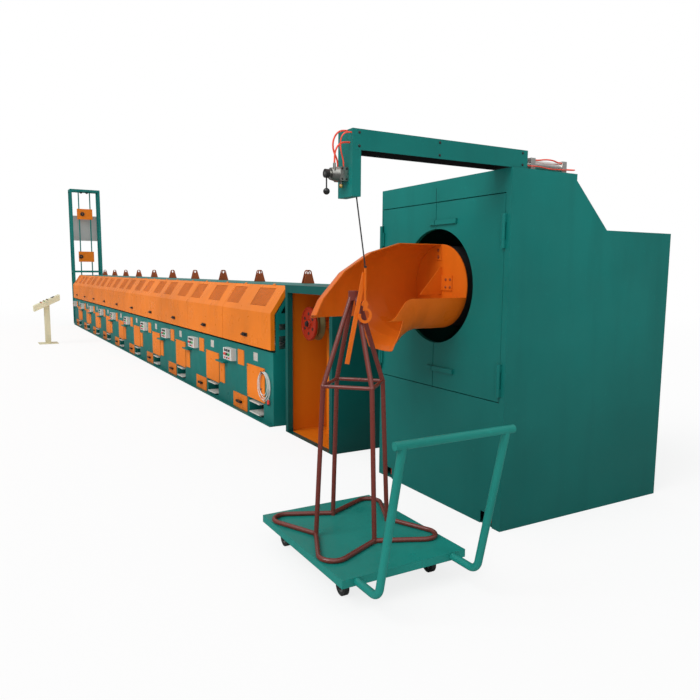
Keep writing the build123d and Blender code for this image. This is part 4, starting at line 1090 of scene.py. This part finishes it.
@dataclass
class Studio:
    """Camera, lamps, floor and backdrop."""

    camera_place: Point = (7.451, -3.326, 1.737)
    yaw: float = 60.400
    pitch: float = 7.137
    roll: float = 0.341
    focal_pixels: float = 653.062
    centre_x: float = 343.783
    centre_y: float = 353.669
    key_strength: float = 1.75
    fill_strength: float = 0.6
    daylight: float = 0.52
    gloss_low: float = 0.12
    gloss_high: float = 1.2
    floor_radius: float = 90.0
    floor_centre: Point = (5.3, 0.2, 0.0)
    fade_start: float = 11.0
    fade_end: float = 24.0
    fade_least: float = 0.8
    paleness: float = 0.93
    paleness_in_gloss: float = 0.2

    def camera(self) -> None:
        """Sets the camera at the photograph's viewpoint."""
        yaw, pitch, roll = (math.radians(angle) for angle in (self.yaw, self.pitch, self.roll))
        ahead = Vector((-math.sin(yaw) * math.cos(pitch), math.cos(yaw) * math.cos(pitch), -math.sin(pitch)))
        level = ahead.cross(Vector((0, 0, 1))).normalized()
        upright = level.cross(ahead)
        right = level * math.cos(roll) + upright * math.sin(roll)
        up = upright * math.cos(roll) - level * math.sin(roll)
        data = bpy.data.cameras.new("camera")
        data.sensor_width = SENSOR_WIDTH
        data.lens = self.focal_pixels / IMAGE_SIZE * SENSOR_WIDTH
        data.shift_x = (IMAGE_SIZE / 2 - self.centre_x) / IMAGE_SIZE
        data.shift_y = (self.centre_y - IMAGE_SIZE / 2) / IMAGE_SIZE
        data.clip_end = 2 * FAR
        thing = new_object("camera", data)
        turn = Matrix((right, up, -ahead)).transposed().to_4x4()
        thing.matrix_world = Matrix.Translation(self.camera_place) @ turn
        bpy.context.scene.camera = thing

    def lamps(self) -> None:
        """Soft key from the operator's side and a weaker fill from the coiler's end, both distant."""
        for name, direction, strength, spread in (
                ("key", (-0.15, 0.95, -0.85), self.key_strength, 40.0),
                ("fill", (-0.9, 0.25, -0.6), self.fill_strength, 60.0)):
            data = bpy.data.lights.new(name, "SUN")
            data.energy = strength
            data.angle = math.radians(spread)
            thing = new_object(name, data)
            thing.rotation_mode = "QUATERNION"
            thing.rotation_quaternion = Vector(direction).to_track_quat("-Z", "Y")

    def world(self) -> None:
        """White backdrop for the camera, soft light on the machine, brighter overhead in its gloss."""
        world = bpy.data.worlds.new("studio")
        bpy.context.scene.world = world
        sheet = NodeTree(world)
        background = sheet.tree.nodes["Background"].inputs
        sheet.feed(background["Color"], (1.0, 1.0, 1.0))
        ray = sheet.add("LightPath").outputs
        seen = sheet.maths("MAXIMUM", ray["Is Camera Ray"], ray["Is Transmission Ray"])
        height = sheet.add("SeparateXYZ", {"Vector": sheet.add("TexCoord").outputs["Generated"]})
        mirrored = sheet.spread(height.outputs["Z"], 0.0, 1.0, self.gloss_low, self.gloss_high)
        light = sheet.spread(ray["Is Glossy Ray"], 0.0, 1.0, self.daylight, mirrored)
        sheet.feed(background["Strength"], sheet.spread(seen, 0.0, 1.0, light, 1.0))

    def floor(self) -> None:
        """Pale floor that fades into the backdrop away from the machine, dimmer in its gloss."""
        shape = bmesh.new()
        bmesh.ops.create_circle(shape, cap_ends=True, segments=64, radius=self.floor_radius)
        data = bpy.data.meshes.new("floor")
        shape.to_mesh(data)
        shape.free()
        sheet = NodeSheet("pale_floor")
        sheet.shade("Roughness", 0.9)
        sheet.shade("Specular IOR Level", 0.1)
        place = sheet.add("Mapping", {"Location": self.floor_centre, "Vector": sheet.place})
        length = sheet.add("VectorMath", {0: place.outputs["Vector"]}, operation="LENGTH")
        fade = sheet.spread(length.outputs["Value"], self.fade_start, self.fade_end, self.fade_least,
                            smooth=True)
        ray = sheet.add("LightPath").outputs
        sheet.shade("Base Color", sheet.spread(ray["Is Glossy Ray"], 0.0, 1.0, self.paleness,
                                               self.paleness_in_gloss))
        blend = sheet.add("MixShader", {0: sheet.maths("MULTIPLY", fade, ray["Is Camera Ray"]),
                                        1: sheet.shader.outputs["BSDF"],
                                        2: sheet.add("Emission").outputs["Emission"]})
        sheet.feed(sheet.tree.nodes["Material Output"].inputs["Surface"], blend.outputs["Shader"])
        data.materials.append(sheet.material)
        new_object("floor", data)

    def build(self) -> None:
        """Makes the whole studio."""
        self.camera()
        self.lamps()
        self.world()
        self.floor()
        bpy.context.scene.view_settings.view_transform = "Standard"


def main() -> None:
    """Builds the studio, then dresses the line from its blocks to its entry and its cords."""
    logging.basicConfig(level=logging.INFO)
    Studio().build()
    blocks = Blocks()
    blocks.paint()
    blocks.controls()
    blocks.mesh_windows()
    blocks.plates()
    coiler = Coiler()
    coiler.paint()
    coiler.fastenings()
    coiler.valve_fittings()
    coiler.chute_fittings()
    pulley_box = PulleyBox()
    pulley_box.paint()
    pulley_box.hub()
    trolley = Trolley()
    trolley.paint()
    trolley.hubs()
    entry = Entry()
    entry.paint()
    entry.pulleys()
    entry.desk_top()
    AirHoses().build()
    ControlCable().build()


if __name__ == "__main__":
    main()
